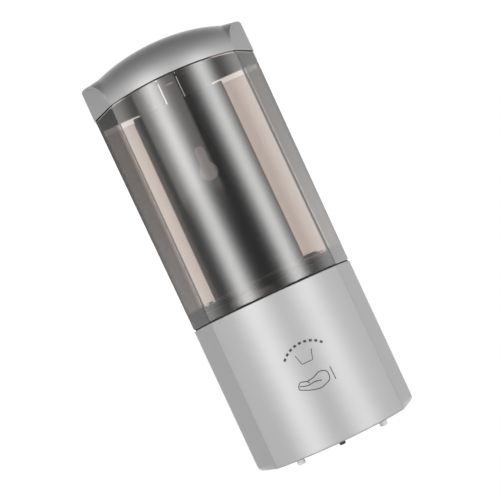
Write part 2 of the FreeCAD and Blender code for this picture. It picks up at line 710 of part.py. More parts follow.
def lid_plan(name, inset=0):
    """The lid seen from above without its bowed front: flat sides and the two facet planes."""
    sketch = doc.addObject("Sketcher::SketchObject", f"{name}_sketch")
    far = f"crease_half - ({LID_FRONT} - crease_depth)*(lid_half - crease_half)/(crease_depth - side_depth)"
    polygon(sketch, [("-lid_half", 20), ("-lid_half", "-side_depth"), (f"-({far})", -LID_FRONT),
                     (far, -LID_FRONT), ("lid_half", "-side_depth"), ("lid_half", 20)])
    place(sketch, (0, 0, "seam_high - 10"))
    section = moved_in(f"{name}_inset", sketch, inset) if inset else sketch
    return extrude(name, section, Vector(0, 0, 1), "lid_crown + 30")


def build_lid():
    """The crowned lid, hinged on a pin at the top of the spine."""
    outer = overlap("lid_outer", lid_form("lid_crown_outer", 0), lid_plan("lid_plan"))
    inner = overlap("lid_inner", lid_form("lid_crown_inner", number("lid_wall")),
                    lid_plan("lid_plan_inner", "lid_wall"))
    shell = cut("lid_hollowed", outer, inner)
    knuckles = []
    for side, low, high in (("left", "-lug_half - 7", "-lug_half - 0.8"), ("right", "lug_half + 0.8", "lug_half + 7")):
        knuckles.append(rod(f"lid_knuckle_{side}", 3.1, f"({high}) - ({low})",
                            (low, "-hinge_depth", "hinge_height"), SIDEWAYS))
        knuckles.append(block(f"lid_gusset_{side}", (low, high), ("-hinge_depth - 3.1", "-lid_back - 2"),
                              ("hinge_height", "seam_high + seam_gap + lid_crown - 2")))
    rear_clear = block("lid_rear_clear", (-REACH, REACH), (-16, 5), (230, "spine_top + 1"))
    fittings = overlap("lid_fittings", join("lid_fitting_set", *knuckles), outer)
    lip = block("lid_lip", ("-spine_half + 2.6", "spine_half - 2.6"), ("-back_wall - 2.6", "-back_wall - 0.4"),
                ("spine_top - 3.5", "spine_top + 6"))
    hinged = join("lid_hinged", cut("lid_cleared", join("lid_fitted", shell, fittings), rear_clear), lip)
    notch = block("lid_lug_notch", ("-lug_half - 0.8", "lug_half + 0.8"), ("-hinge_depth", 5),
                  (240, "hinge_height + 3.6"))
    pin_space = rod("lid_pin_space", "pin_radius + running_gap", 40, (-20, "-hinge_depth", "hinge_height"),
                    SIDEWAYS)
    piece(cut("lid_shell", hinged, notch, pin_space))
    piece(turned("lid_hinge_pin", [(0, -13.4), ("pin_radius - 0.3", -13.4), ("pin_radius", -13), ("pin_radius", 13),
                                   ("pin_radius - 0.3", 13.4), (0, 13.4)],
                 (0, "-hinge_depth", "hinge_height"), SIDEWAYS))


# ---------------------------------------------------------------- battery compartment

CELL_SIDES = [f"{step}*cell_pitch" for step in (-1.5, -0.5, 0.5, 1.5)]
CELL_LOW = 4.4


def build_battery():
    """Four cells in a box behind a hinged door in the underside."""
    outer = block("box_outer", ("-box_half", "box_half"), ("-cell_depth - 9", "-cell_depth + 9"),
                  ("cover_wall + 0.2", "box_top"))
    inner = block("box_inner", ("-box_half + 1.5", "box_half - 1.5"),
                  ("-cell_depth - 7.5", "-cell_depth + 7.5"), (0, "box_top - 1.5"))
    exits = [rod(f"box_exit_{side}", 1.2, 10, (side, "-cell_depth", "box_top - 5")) for side in (-24, -20)]
    piece(cut("battery_box", outer, inner, *exits))

    length = "cell_length"
    cell = turned("battery_cell", [
        (0, 0), (4.2, 0), (4.4, 0.3), ("cell_radius - 0.7", 0.3), ("cell_radius", 0.9),
        ("cell_radius", f"{length} - 2.4"), ("cell_radius - 0.7", f"{length} - 1.7"), (2.8, f"{length} - 1.7"),
        (2.7, f"{length} - 0.2"), (2.4, length), (0, length)])
    places = [(x, "-cell_depth", CELL_LOW) for x in CELL_SIDES]
    piece(copies("battery_cells", cell, places))

    spring, sketch = body_sketch("battery_spring", "XZ_Plane")
    circle(sketch, 3.2, 0.3, 0.25)
    helix = spring.newObject("PartDesign::AdditiveHelix", "battery_spring_helix")
    helix.Profile = sketch
    helix.ReferenceAxis = (sketch, ["V_Axis"])
    helix.Mode = 0
    helix.Pitch = 1.3
    helix.Height = 4
    spring_low = f"{CELL_LOW} + cell_length + 0.05"
    piece(copies("battery_springs", spring, [(x, "-cell_depth", spring_low) for x in CELL_SIDES]))

    terminal = plate("battery_terminal", rectangle((-13, 13), (-6, 6)), (0, 0, 0), 0.5)
    piece(copies("battery_terminals", terminal, [(side, "-cell_depth", "box_top - 2") for side in (-15, 15)]))

    low, high = "door_hinge_height - 1.2", "cover_wall"
    panel = block("door_panel", ("-box_half - 0.1", "box_half + 0.1"),
                  ("-door_hinge_depth + 2.2", -6.9), (low, high))
    neck = block("door_neck", (-20, 20), ("-door_hinge_depth", "-door_hinge_depth + 2.4"), (low, high))
    barrel = rod("door_barrel", 1.3, 40, (-20, "-door_hinge_depth", "door_hinge_height"), SIDEWAYS)
    grip = block("door_grip", (-7, 7), (-10.4, -9.2), (-1, "cover_wall - 1.2"))
    pin_space = rod("door_pin_bore", 0.65, 60, (-30, "-door_hinge_depth", "door_hinge_height"), SIDEWAYS)
    latch = block("door_latch", (-4, 4), (-9, -8.7), ("cover_wall - 0.1", "cover_wall + 1.7"))
    piece(cut("battery_door", join("door_solid", panel, neck, barrel, latch), grip, pin_space))
    contact = plate("door_contact", rectangle((-13, 13), (-5.5, 5.5)), (0, 0, 0), 0.5)
    piece(copies("door_contacts", contact, [(side, "-cell_depth", "cover_wall") for side in (-15, 15)]))
    piece(turned("battery_door_pin", [(0, -24.6), (0.6, -24.6), (0.6, 24.6), (0, 24.6)],
                 (0, "-door_hinge_depth", "door_hinge_height"), SIDEWAYS))


# ---------------------------------------------------------------- gears, pump and motor

PRESSURE = math.radians(20)
BACKLASH = 0.05


def spread(angle):
    """The involute function."""
    return math.tan(angle) - angle


def gear(name, teeth, module, thickness, at, bore, first_tooth, addendum):
    """A spur gear with involute flanks, padded from its outline and bored for its shaft."""
    count = round(number(teeth))
    size = number(module)
    pitch = size * count / 2
    base = pitch * math.cos(PRESSURE)
    tip = pitch + addendum * size
    root = pitch - 1.25 * size
    start = max(base, root)
    half = (math.pi * size / 2 - BACKLASH) / (2 * pitch) + spread(PRESSURE)

    def point(radius, angle):
        return Vector(radius * math.cos(angle), radius * math.sin(angle), 0)

    def flank(radius):
        return half - spread(math.acos(min(1, base / radius)))

    body, sketch = body_sketch(name, "XY_Plane")
    edges = []
    step = 2 * math.pi / count
    for tooth in range(count):
        middle = math.radians(first_tooth) + tooth * step
        radii = (start, (start + tip) / 2, tip)
        rising = [point(radius, middle - flank(radius)) for radius in radii]
        falling = [point(radius, middle + flank(radius)) for radius in reversed(radii)]
        foot = point(root, middle - flank(start))
        heel = point(root, middle + flank(start))
        next_foot = point(root, middle + step - flank(start))
        if start > root:
            edges.append(Part.LineSegment(foot, rising[0]))
        edges.append(Part.Arc(*rising))
        edges.append(Part.Arc(rising[-1], point(tip, middle), falling[0]))
        edges.append(Part.Arc(*falling))
        if start > root:
            edges.append(Part.LineSegment(falling[-1], heel))
        edges.append(Part.Arc(heel, point(root, middle + step / 2), next_foot))
    for edge in edges:
        sketch.addGeometry(edge)
    circle(sketch, 0, 0, bore)
    pad = body.newObject("PartDesign::Pad", f"{name}_pad")
    pad.Profile = sketch
    bind(pad, Length=thickness)
    return place(body, at)


def build_pump():
    """A gear pump: two meshed gears in a block, driven through one reduction from the motor."""
    centre = "-pump_depth"
    outline_corners = rectangle((-14.5, 14.5), (f"{centre} - 9.5", f"{centre} + 9.5"))
    screw_holes = [(x, y, 1.3) for x, y in PUMP_SCREWS]
    pocket_radius = "pump_module*(pump_teeth/2 + 0.9) + 0.06"
    solid = plate("pump_block", outline_corners, (0, 0, "pump_low"), "pump_high - pump_low", screw_holes)
    port_reach = {"rear": f"{centre} + 9", "front": f"{centre} - 9"}
    ports = [
        rod("rear_nipple", "nipple_radius", 3.4, (0, port_reach["rear"], "port_height"), BACKWARD),
        rod("front_nipple", "nipple_radius", 3.4, (0, port_reach["front"], "port_height"), FORWARD),
    ]
    pockets = [rod(f"gear_pocket_{side}", pocket_radius, 20, (f"{sign}*{SPINDLE}", centre, "pump_low + 2"))
               for side, sign in (("left", -1), ("right", 1))]
    bores = [
        rod("idler_seat", "shaft_radius", 5, (f"-{SPINDLE}", centre, "pump_low + 0.4")),
        rod("spindle_seat", "shaft_radius + running_gap", 5, (SPINDLE, centre, "pump_low + 0.4")),
        rod("port_bore", 1.3, 40, (0, f"{centre} - 20", "port_height"), BACKWARD),
    ]
    piece(cut("pump_body", join("pump_solid", solid, *ports), *pockets, *bores))

    cover = plate("pump_cover_form", outline_corners, (0, 0, "pump_high"), "cover_high - pump_high", [
        *screw_holes, (f"-{SPINDLE}", centre, "shaft_radius"), (SPINDLE, centre, "shaft_radius + running_gap")])
    recess = rod("seal_recess", 3.1, 5, (SPINDLE, centre, "pump_high + 1"))
    piece(cut("pump_cover", cover, recess))
    piece(disc("shaft_seal", 3.05, 1.4, (SPINDLE, centre, "pump_high + 1.05"),
               [(0, 0, "shaft_radius + running_gap")]))
    pattern = screw("pump_screw", 22, 1.25, 2.2, 1.5)
    piece(copies("pump_screws", pattern, [(x, y, "cover_high") for x, y in PUMP_SCREWS], INVERTED))

    gear_low, gear_thick = "pump_low + 2.1", "pump_high - pump_low - 2.2"
    piece(gear("pump_drive_gear", "pump_teeth", "pump_module", gear_thick, (SPINDLE, centre, gear_low),
               "shaft_radius", 0, 0.9))
    piece(gear("pump_idler_gear", "pump_teeth", "pump_module", gear_thick, (f"-{SPINDLE}", centre, gear_low),
               "shaft_radius + running_gap", 15, 0.9))
    piece(disc("pump_idler_shaft", "shaft_radius", "cover_high - pump_low - 1.4",
               (f"-{SPINDLE}", centre, "pump_low + 0.5")))
    piece(disc("pump_drive_shaft", "shaft_radius", "bracket_high - pump_low - 0.7",
               (SPINDLE, centre, "pump_low + 0.5")))
    piece(gear("reduction_gear", "wheel_teeth", "drive_module", 4, (SPINDLE, centre, "bracket_low - 5"),
               "shaft_radius", 0, 0.95))


def build_motor():
    """The motor stands on a bracket, with its pinion below."""
    at_motor = (MOTOR_SIDE, "-pump_depth")
    leg_holes = [(x, y, "thread_radius + 0.2") for x, y in BRACKET_LEGS]
    mounts = [(MOTOR_SIDE, f"-pump_depth + {step}", 1.1) for step in (-7, 7)]
    piece(plate("pump_bracket", rectangle((-20, 38), (-73, -39.5)), (0, 0, "bracket_low"),
                "bracket_high - bracket_low",
                [*leg_holes, *mounts, (SPINDLE, "-pump_depth", "shaft_radius + running_gap"),
                 (*at_motor, 3.05)]))
    pattern = screw("bracket_screw", 11)
    piece(copies("bracket_screws", pattern, [(x, y, "bracket_high") for x, y in BRACKET_LEGS], INVERTED))

    top = "(motor_top - bracket_high)"
    can = turned("motor_can_form", [
        (1.2, -1.8), (3, -1.8), (3, 0), ("motor_radius - 0.8", 0), ("motor_radius", 0.8), ("motor_radius", top),
        ("motor_radius - 0.8", top), ("motor_radius - 0.8", 1.6), (1.2, 1.6)], (*at_motor, "bracket_high"))
    holes = [rod(f"can_screw_hole_{index}", 1.03, 6, (MOTOR_SIDE, f"-pump_depth + {step}", "bracket_high - 2"))
             for index, step in enumerate((-7, 7))]
    piece(cut("motor_can", can, *holes))
    piece(turned("motor_end_cap", [
        (0, -1.2), (0, 0), (2.6, 0), (2.6, 1.2), (4.4, 1.2), (4.4, 0), ("motor_radius - 0.9", 0),
        ("motor_radius - 0.9", -3), (2, -3), (2, -1.2)], (*at_motor, "motor_top")))
    piece(turned("motor_armature", [(1, 4), (7.6, 4), (7.6, 18), (3, 18), (3, 20.5), (1, 20.5)],
                 (*at_motor, "bracket_high")))
    piece(disc("motor_shaft", 1, "motor_top - bracket_low + 3.4", (*at_motor, "bracket_low - 5.4")))
    piece(gear("motor_pinion", "pinion_teeth", "drive_module", 4, (*at_motor, "bracket_low - 5"), 1, 0, 0.95))
    pattern = screw("motor_screw", 3.4, 1.0, 1.7, 1.2)
    places = [(MOTOR_SIDE, f"-pump_depth + {step}", "bracket_low") for step in (-7, 7)]
    piece(copies("motor_screws", pattern, places))


# ---------------------------------------------------------------- soap line

def route(points, radius):
    """Straight runs joined by tangent arcs of one radius."""
    edges = []
    start = points[0]
    for before, corner, after in zip(points, points[1:], points[2:]):
        into = (corner - before).normalize()
        out = (after - corner).normalize()
        turn = into.getAngle(out)
        setback = radius * math.tan(turn / 2)
        enter = corner - into * setback
        leave = corner + out * setback
        inward = (out - into).normalize()
        middle = corner + inward * (radius / math.cos(turn / 2) - radius)
        edges.append(Part.LineSegment(start, enter).toShape())
        edges.append(Part.Arc(enter, middle, leave).toShape())
        start = leave
    edges.append(Part.LineSegment(start, points[-1]).toShape())
    return Part.Wire(edges)


def pipe(path, radius):
    """A round bar along a path."""
    first = path.Edges[0]
    ring = Part.Wire(Part.makeCircle(radius, first.valueAt(first.FirstParameter),
                                     first.tangentAt(first.FirstParameter)))
    return path.makePipeShell([ring], True, False)


def tube(name, points, bend, outer, inner=None):
    """A bent tube, or a wire where there is no inner radius."""
    path = route([Vector(*(number(text) for text in at)) for at in points], bend)
    solid = pipe(path, number(outer))
    if inner is not None:
        solid = solid.cut(pipe(path, number(inner)))
    section = math.pi * (number(outer)**2 - (number(inner)**2 if inner is not None else 0))
    print(name, "bend", bend, "volume over section times length", round(solid.Volume / (section * path.Length), 4))
    item = doc.addObject("Part::Feature", name)
    item.Shape = solid
    return item


def build_soap_line():
    """Tubes from the tank to the pump and from the pump to the nozzle."""
    spigot = ("outlet_side", "-outlet_depth")
    piece(tube("inlet_tube", [(*spigot, "tank_floor - 13.6"), (*spigot, "port_height"),
                              (0, "-outlet_depth", "port_height"), (0, "-pump_depth + 9.6", "port_height")],
               7.2, "tube_outer", "tube_inner"))
    piece(tube("outlet_tube", [(0, "-pump_depth - 9.6", "port_height"), (0, "-nozzle_depth", "port_height"),
                               (0, "-nozzle_depth", 10.2)], 8, "tube_outer", "tube_inner"))
    nozzle = turned("nozzle_form", [
        (1.3, "-nozzle_drop"), (1.7, "-nozzle_drop"), (2.0, "-nozzle_drop + 0.4"), (2.0, -1.8), (5.2, -0.2),
        (5.2, "cover_wall"), (6.6, "cover_wall"), (6.6, 4), (4.2, 4), (4.2, 10), ("nipple_radius", 10),
        ("nipple_radius", 15.5), (1.3, 15.5), (1.3, 8.6), (2.7, 8.6), (2.7, 3), (1.3, 1.6)],
        (0, "-nozzle_depth", 0))
    piece(nozzle, "nozzle")
    valve = turned("valve_form", [(0.6, 3.1), (2.6, 3.1), (2.6, 8.5), (1.9, 8.5), (1.9, 5), (0.6, 3.8)],
                   (0, "-nozzle_depth", 0))
    piece(valve, "nozzle_valve")


# ---------------------------------------------------------------- sensor and electronics

def build_sensor():
    """An infrared pair looks down through a dark window behind the nozzle."""
    centre = "-sensor_depth"
    piece(plate("sensor_window", rectangle((-7, 7), (f"{centre} - 4.5", f"{centre} + 4.5")), (0, 0, 0.5), 1.5))
    shroud = block("shroud_form", (-8.4, 8.4), (f"{centre} - 5.6", f"{centre} + 5.6"), ("cover_wall", 9))
    wells = [rod(f"shroud_well_{index}", 1.6, 20, (side, centre, 0)) for index, side in enumerate((-3.8, 3.8))]
    recess = block("shroud_recess", (-7, 7), (f"{centre} - 4.4", f"{centre} + 4.4"), (7.2, 12))
    piece(cut("sensor_shroud", shroud, *wells, recess))
    for name, side in (("ir_emitter", -3.8), ("ir_receiver", 3.8)):
        piece(turned(name, [(0, 2.6), (0.8, 2.8), (1.35, 3.4), (1.5, 4.2), (1.5, 7.2), (1.9, 7.2), (1.9, 8.2), (0, 8.2)],
                     (side, centre, 0)))
    piece(plate("sensor_board", rectangle((-8, 8), (f"{centre} - 5.4", f"{centre} + 5.4")), (0, 0, 9), 1.2))
    piece(turned("status_led", [(0, 0.3), (1.0, 0.5), (1.5, 1.2), (1.5, "cover_wall"), (2.4, "cover_wall"),
                                (2.4, 3.4), (1.5, 3.4), (1.5, 5.6), (0, 5.6)], (14, -74, 0)))


def build_electronics():
    """The control board stands against the left side, and the power switch is in the floor."""
    face = "-board_side"
    holes = [(z, f"-({y})", 1.3) for y, z in BOARD_SCREWS]
    board = plate("main_board", rectangle((20, 70), (34, 70)), (face, 0, 0), "board_thick",
                  holes, turn=Rotation(Vector(0, 0, 1), Vector(0, -1, 0), Vector(1, 0, 0), "ZYX"))
    piece(board)
    front = "-board_side + board_thick"
    piece(block("board_chip", (front, f"{front} + 1.8"), (-58, -50), (38, 50)))
    piece(turned("board_capacitor", [(0, 0), (3.6, 0), (3.6, 0.8), (3.9, 1.2), (3.9, 9.6), (3.5, 10), (0, 10)],
                 (front, -46, 34), SIDEWAYS))
    shell = block("connector_form", (front, f"{front} + 6"), (-60, -44), (55, 61))
    hollow = block("connector_hollow", (f"{front} + 1", f"{front} + 8"), (-59, -45), (56, 60))
    piece(cut("board_connector", shell, hollow))
    pattern = screw("board_screw", 7, 1.25, 2.2, 1.4)
    places = [(front, y, z) for y, z in BOARD_SCREWS]
    piece(copies("board_screws", pattern, places, Rotation(Vector(0, 1, 0), -90)))

    x, y = "-switch_side", "-switch_depth"
    case = block("switch_case", (f"{x} - 4", f"{x} + 4"), (f"{y} - 6.5", f"{y} + 6.5"), ("cover_wall", 9))
    room = block("switch_room", (f"{x} - 2.4", f"{x} + 2.4"), (f"{y} - 4.6", f"{y} + 4.6"), (0, 7))
    piece(cut("power_switch_body", case, room))
    knob = block("switch_knob", (f"{x} - 1.9", f"{x} + 1.9"), (f"{y} - 3.9", f"{y} + 0.6"), (-0.6, 4.4))
    head = block("switch_carrier", (f"{x} - 2.1", f"{x} + 2.1"), (f"{y} - 4.3", f"{y} + 1"), (3.2, 6.6))
    piece(join("power_switch_slider", knob, head))

    leads = [
        ("motor_lead_a", [(f"{MOTOR_SIDE} - 3.5", "-pump_depth", "motor_top + 1.25"),
                          (f"{MOTOR_SIDE} - 3.5", "-pump_depth", 86), (-20, -58, 86), (-20, -58, 58), (-31.6, -58, 58)]),
        ("motor_lead_b", [(f"{MOTOR_SIDE} + 3.5", "-pump_depth", "motor_top + 1.25"),
                          (f"{MOTOR_SIDE} + 3.5", "-pump_depth", 89), (-23, -54, 89), (-23, -54, 58), (-31.6, -54, 58)]),
    ]
    battery = [
        ("battery_lead_a", [(-24, "-cell_depth", "box_top - 1.4"), (-24, "-cell_depth", 72), (-24, -46.5, 72),
                            (-24, -46.5, 58), (-31.6, -46.5, 58)]),
        ("battery_lead_b", [(-20, "-cell_depth", "box_top - 1.4"), (-20, "-cell_depth", 76), (-20, -50, 76),
                            (-20, -50, 58), (-31.6, -50, 58)]),
    ]
    for name, pair in (("motor_leads", leads), ("battery_leads", battery)):
        wires = [tube(label, points, 4, 0.65) for label, points in pair]
        group = doc.addObject("Part::Compound", name)
        group.Links = wires
        piece(group)


# ---------------------------------------------------------------- build, check and write

def check():
    """Stop if anything in the document failed, or if a sub-part is not one or more good solids."""
    failed = [item.Name for item in doc.Objects if {"Invalid", "Error"} & set(item.State)]
    if failed:
        raise SystemExit(f"failed objects: {failed}")
    for item in pieces:
        shape = item.Shape
        if shape.isNull() or not shape.isValid() or not shape.Solids:
            raise SystemExit(f"{item.Label} has no valid solid")


def write():
    """Write one STEP file for each sub-part."""
    os.makedirs("parts", exist_ok=True)
    for item in pieces:
        item.Shape.exportStep(os.path.join("parts", f"{item.Label}.step"))
        box = item.Shape.BoundBox
        print(f"{item.Label}: {len(item.Shape.Solids)} solid(s), {item.Shape.Volume:.0f} mm3, "
              f"{box.XLength:.1f} x {box.YLength:.1f} x {box.ZLength:.1f}")


build_casing()
build_feet()
build_deck()
build_tank()
build_lid()
build_battery()
build_pump()
build_motor()
build_soap_line()
build_sensor()
build_electronics()
doc.recompute()
check()
write()
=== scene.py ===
"""The finished looks of a wall mounted soap dispenser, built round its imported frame.

Every length is in metres, in the frame's own axes: X to the right, Y into the wall, Z up.
"""

import json
import logging
import math
from dataclasses import dataclass, field
from enum import Enum
from typing import Iterable, Sequence

import bmesh
import bpy
from mathutils import Matrix, Vector


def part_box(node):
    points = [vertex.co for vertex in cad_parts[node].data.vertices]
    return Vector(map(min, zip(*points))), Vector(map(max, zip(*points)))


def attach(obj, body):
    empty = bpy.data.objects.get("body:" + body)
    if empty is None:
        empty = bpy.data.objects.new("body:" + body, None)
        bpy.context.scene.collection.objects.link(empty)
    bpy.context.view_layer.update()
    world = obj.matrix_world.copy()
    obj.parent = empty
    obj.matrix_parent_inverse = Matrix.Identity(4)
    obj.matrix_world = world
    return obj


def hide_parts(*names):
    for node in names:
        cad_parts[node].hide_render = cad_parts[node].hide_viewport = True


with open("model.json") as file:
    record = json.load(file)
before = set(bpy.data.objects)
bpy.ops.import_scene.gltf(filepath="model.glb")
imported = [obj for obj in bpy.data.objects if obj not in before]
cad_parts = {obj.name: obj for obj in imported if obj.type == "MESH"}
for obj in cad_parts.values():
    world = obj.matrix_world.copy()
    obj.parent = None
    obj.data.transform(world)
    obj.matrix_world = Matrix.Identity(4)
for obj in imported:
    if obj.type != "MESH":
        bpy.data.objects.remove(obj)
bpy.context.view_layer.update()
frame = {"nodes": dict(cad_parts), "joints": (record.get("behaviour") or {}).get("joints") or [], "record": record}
MM = 0.001
Point = tuple[float, float]
Socket = bpy.types.NodeSocket
Tree = bpy.types.NodeTree
Item = bpy.types.Object
Skin = bmesh.types.BMesh
Loop = list[Vector]
logging.basicConfig(level=logging.INFO, format="%(message)s")
log = logging.getLogger("dispenser")


# ------------------------------------------------------------------ shared shader groups

class Shader(Enum):
    """The shader effects that several finishes share."""

    GRAIN = "moulded_grain"
    WEAR = "rubbed_edges"
    DUST = "settled_dust"
    FLAKE = "metal_flake"


def new_group(name: str, inputs: dict[str, float | tuple], outputs: dict[str, str]) -> Tree:
    """Start a shader node group.

    Args:
        name: the group's name.
        inputs: default values by input name; a tuple makes a colour.
        outputs: socket types by output name.

    Returns:
        The node tree, with its group input and output nodes placed.
    """
    tree = bpy.data.node_groups.new(name, "ShaderNodeTree")
    for label, value in inputs.items():
        kind = "NodeSocketColor" if isinstance(value, tuple) else "NodeSocketFloat"
        socket = tree.interface.new_socket(label, in_out="INPUT", socket_type=kind)
        socket.default_value = value
    for label, kind in outputs.items():
        tree.interface.new_socket(label, in_out="OUTPUT", socket_type=kind)
    tree.nodes.new("NodeGroupInput").name = "in"
    tree.nodes.new("NodeGroupOutput").name = "out"
    return tree


def math_node(tree: Tree, operation: str, first: object, second: object = None,
              clamp: bool = False) -> Socket:
    """Add a math node whose operands are sockets or numbers.

    Args:
        tree: the tree to add to.
        operation: Blender's name of the operation.
        first: the first operand.
        second: the second operand, if the operation takes one.
        clamp: whether the result is held between 0 and 1.

    Returns:
        The result's socket.
    """
    node = tree.nodes.new("ShaderNodeMath")
    node.operation = operation
    node.use_clamp = clamp
    for index, operand in enumerate((first, second)):
        if isinstance(operand, Socket):
            tree.links.new(operand, node.inputs[index])
        elif operand is not None:
            node.inputs[index].default_value = operand
    return node.outputs[0]


def noise_node(tree: Tree, coordinates: Socket, scale: object,
               detail: float = 3.0, roughness: float = 0.5) -> Socket:
    """Add a noise texture.

    Args:
        tree: the tree to add to.
        coordinates: the position socket.
        scale: a socket or a number.
        detail: octaves of detail.
        roughness: weight of the finer octaves.

    Returns:
        The factor's socket.
    """
    node = tree.nodes.new("ShaderNodeTexNoise")
    tree.links.new(coordinates, node.inputs["Vector"])
    if isinstance(scale, Socket):
        tree.links.new(scale, node.inputs["Scale"])
    else:
        node.inputs["Scale"].default_value = scale
    node.inputs["Detail"].default_value = detail
    node.inputs["Roughness"].default_value = roughness
    return node.outputs["Fac"]


def object_position(tree: Tree) -> Socket:
    """The socket of the piece's own Object coordinates."""
    return tree.nodes.new("ShaderNodeTexCoord").outputs["Object"]


def build_grain_group() -> Tree:
    """A fine moulded grain: a height for bump, and a slow drift of the surface's tone."""
    tree = new_group(Shader.GRAIN.value, {"Scale": 900.0, "Drift Scale": 25.0},
                     {"Height": "NodeSocketFloat", "Drift": "NodeSocketFloat"})
    inlet, outlet = tree.nodes["in"], tree.nodes["out"]
    position = object_position(tree)
    fine = noise_node(tree, position, inlet.outputs["Scale"], 4.0, 0.6)
    slow = noise_node(tree, position, inlet.outputs["Drift Scale"], 2.0)
    tree.links.new(fine, outlet.inputs["Height"])
    tree.links.new(slow, outlet.inputs["Drift"])
    return tree


def build_wear_group() -> Tree:
    """A mask of rubbed edges, broken up by noise."""
    tree = new_group(Shader.WEAR.value, {"Start": 0.53, "Reach": 0.08, "Break": 0.6},
                     {"Mask": "NodeSocketFloat"})
    inlet, outlet = tree.nodes["in"], tree.nodes["out"]
    pointed = tree.nodes.new("ShaderNodeNewGeometry").outputs["Pointiness"]
    edge = math_node(tree, "DIVIDE", math_node(tree, "SUBTRACT", pointed, inlet.outputs["Start"]),
                     inlet.outputs["Reach"], clamp=True)
    patches = noise_node(tree, object_position(tree), 140.0)
    broken = math_node(tree, "SUBTRACT", 1.0, math_node(tree, "MULTIPLY", patches, inlet.outputs["Break"]))
    tree.links.new(math_node(tree, "MULTIPLY", edge, broken, clamp=True), outlet.inputs["Mask"])
    return tree


def build_dust_group() -> Tree:
    """A mask of light dust that lies on faces that look up."""
    tree = new_group(Shader.DUST.value, {"Amount": 0.15}, {"Mask": "NodeSocketFloat"})
    inlet, outlet = tree.nodes["in"], tree.nodes["out"]
    parts = tree.nodes.new("ShaderNodeSeparateXYZ")
    tree.links.new(tree.nodes.new("ShaderNodeNewGeometry").outputs["Normal"], parts.inputs[0])
    upward = math_node(tree, "MAXIMUM", parts.outputs["Z"], 0.0)
    patches = noise_node(tree, object_position(tree), 60.0, 5.0, 0.65)
    mask = math_node(tree, "MULTIPLY", math_node(tree, "MULTIPLY", upward, patches), inlet.outputs["Amount"])
    tree.links.new(mask, outlet.inputs["Mask"])
    return tree


def build_flake_group() -> Tree:
    """The sparkle of fine metal flake in a satin coat: small changes of tone and of roughness."""
    tree = new_group(Shader.FLAKE.value, {"Size": 0.00012, "Strength": 0.06},
                     {"Tone": "NodeSocketFloat", "Height": "NodeSocketFloat"})
    inlet, outlet = tree.nodes["in"], tree.nodes["out"]
    cells = tree.nodes.new("ShaderNodeTexVoronoi")
    tree.links.new(object_position(tree), cells.inputs["Vector"])
    tree.links.new(math_node(tree, "DIVIDE", 1.0, inlet.outputs["Size"]), cells.inputs["Scale"])
    level = math_node(tree, "SUBTRACT", cells.outputs["Color"], 0.5)
    tone = math_node(tree, "ADD", 1.0, math_node(tree, "MULTIPLY", level, inlet.outputs["Strength"]))
    tree.links.new(tone, outlet.inputs["Tone"])
    tree.links.new(cells.outputs["Distance"], outlet.inputs["Height"])
    return tree


def build_groups() -> None:
    """Build each shared shader group once."""
    build_grain_group()
    build_wear_group()
    build_dust_group()
    build_flake_group()


# ------------------------------------------------------------------ finishes

# Where the tank's clear colour carries painted shade: its side facets, and a strip beside the recess in its back.
FACET_FROM = 42.3 * MM
FACET_AHEAD_OF = -50 * MM
RECESS_WITHIN = 33 * MM
RECESS_BEHIND = -21 * MM

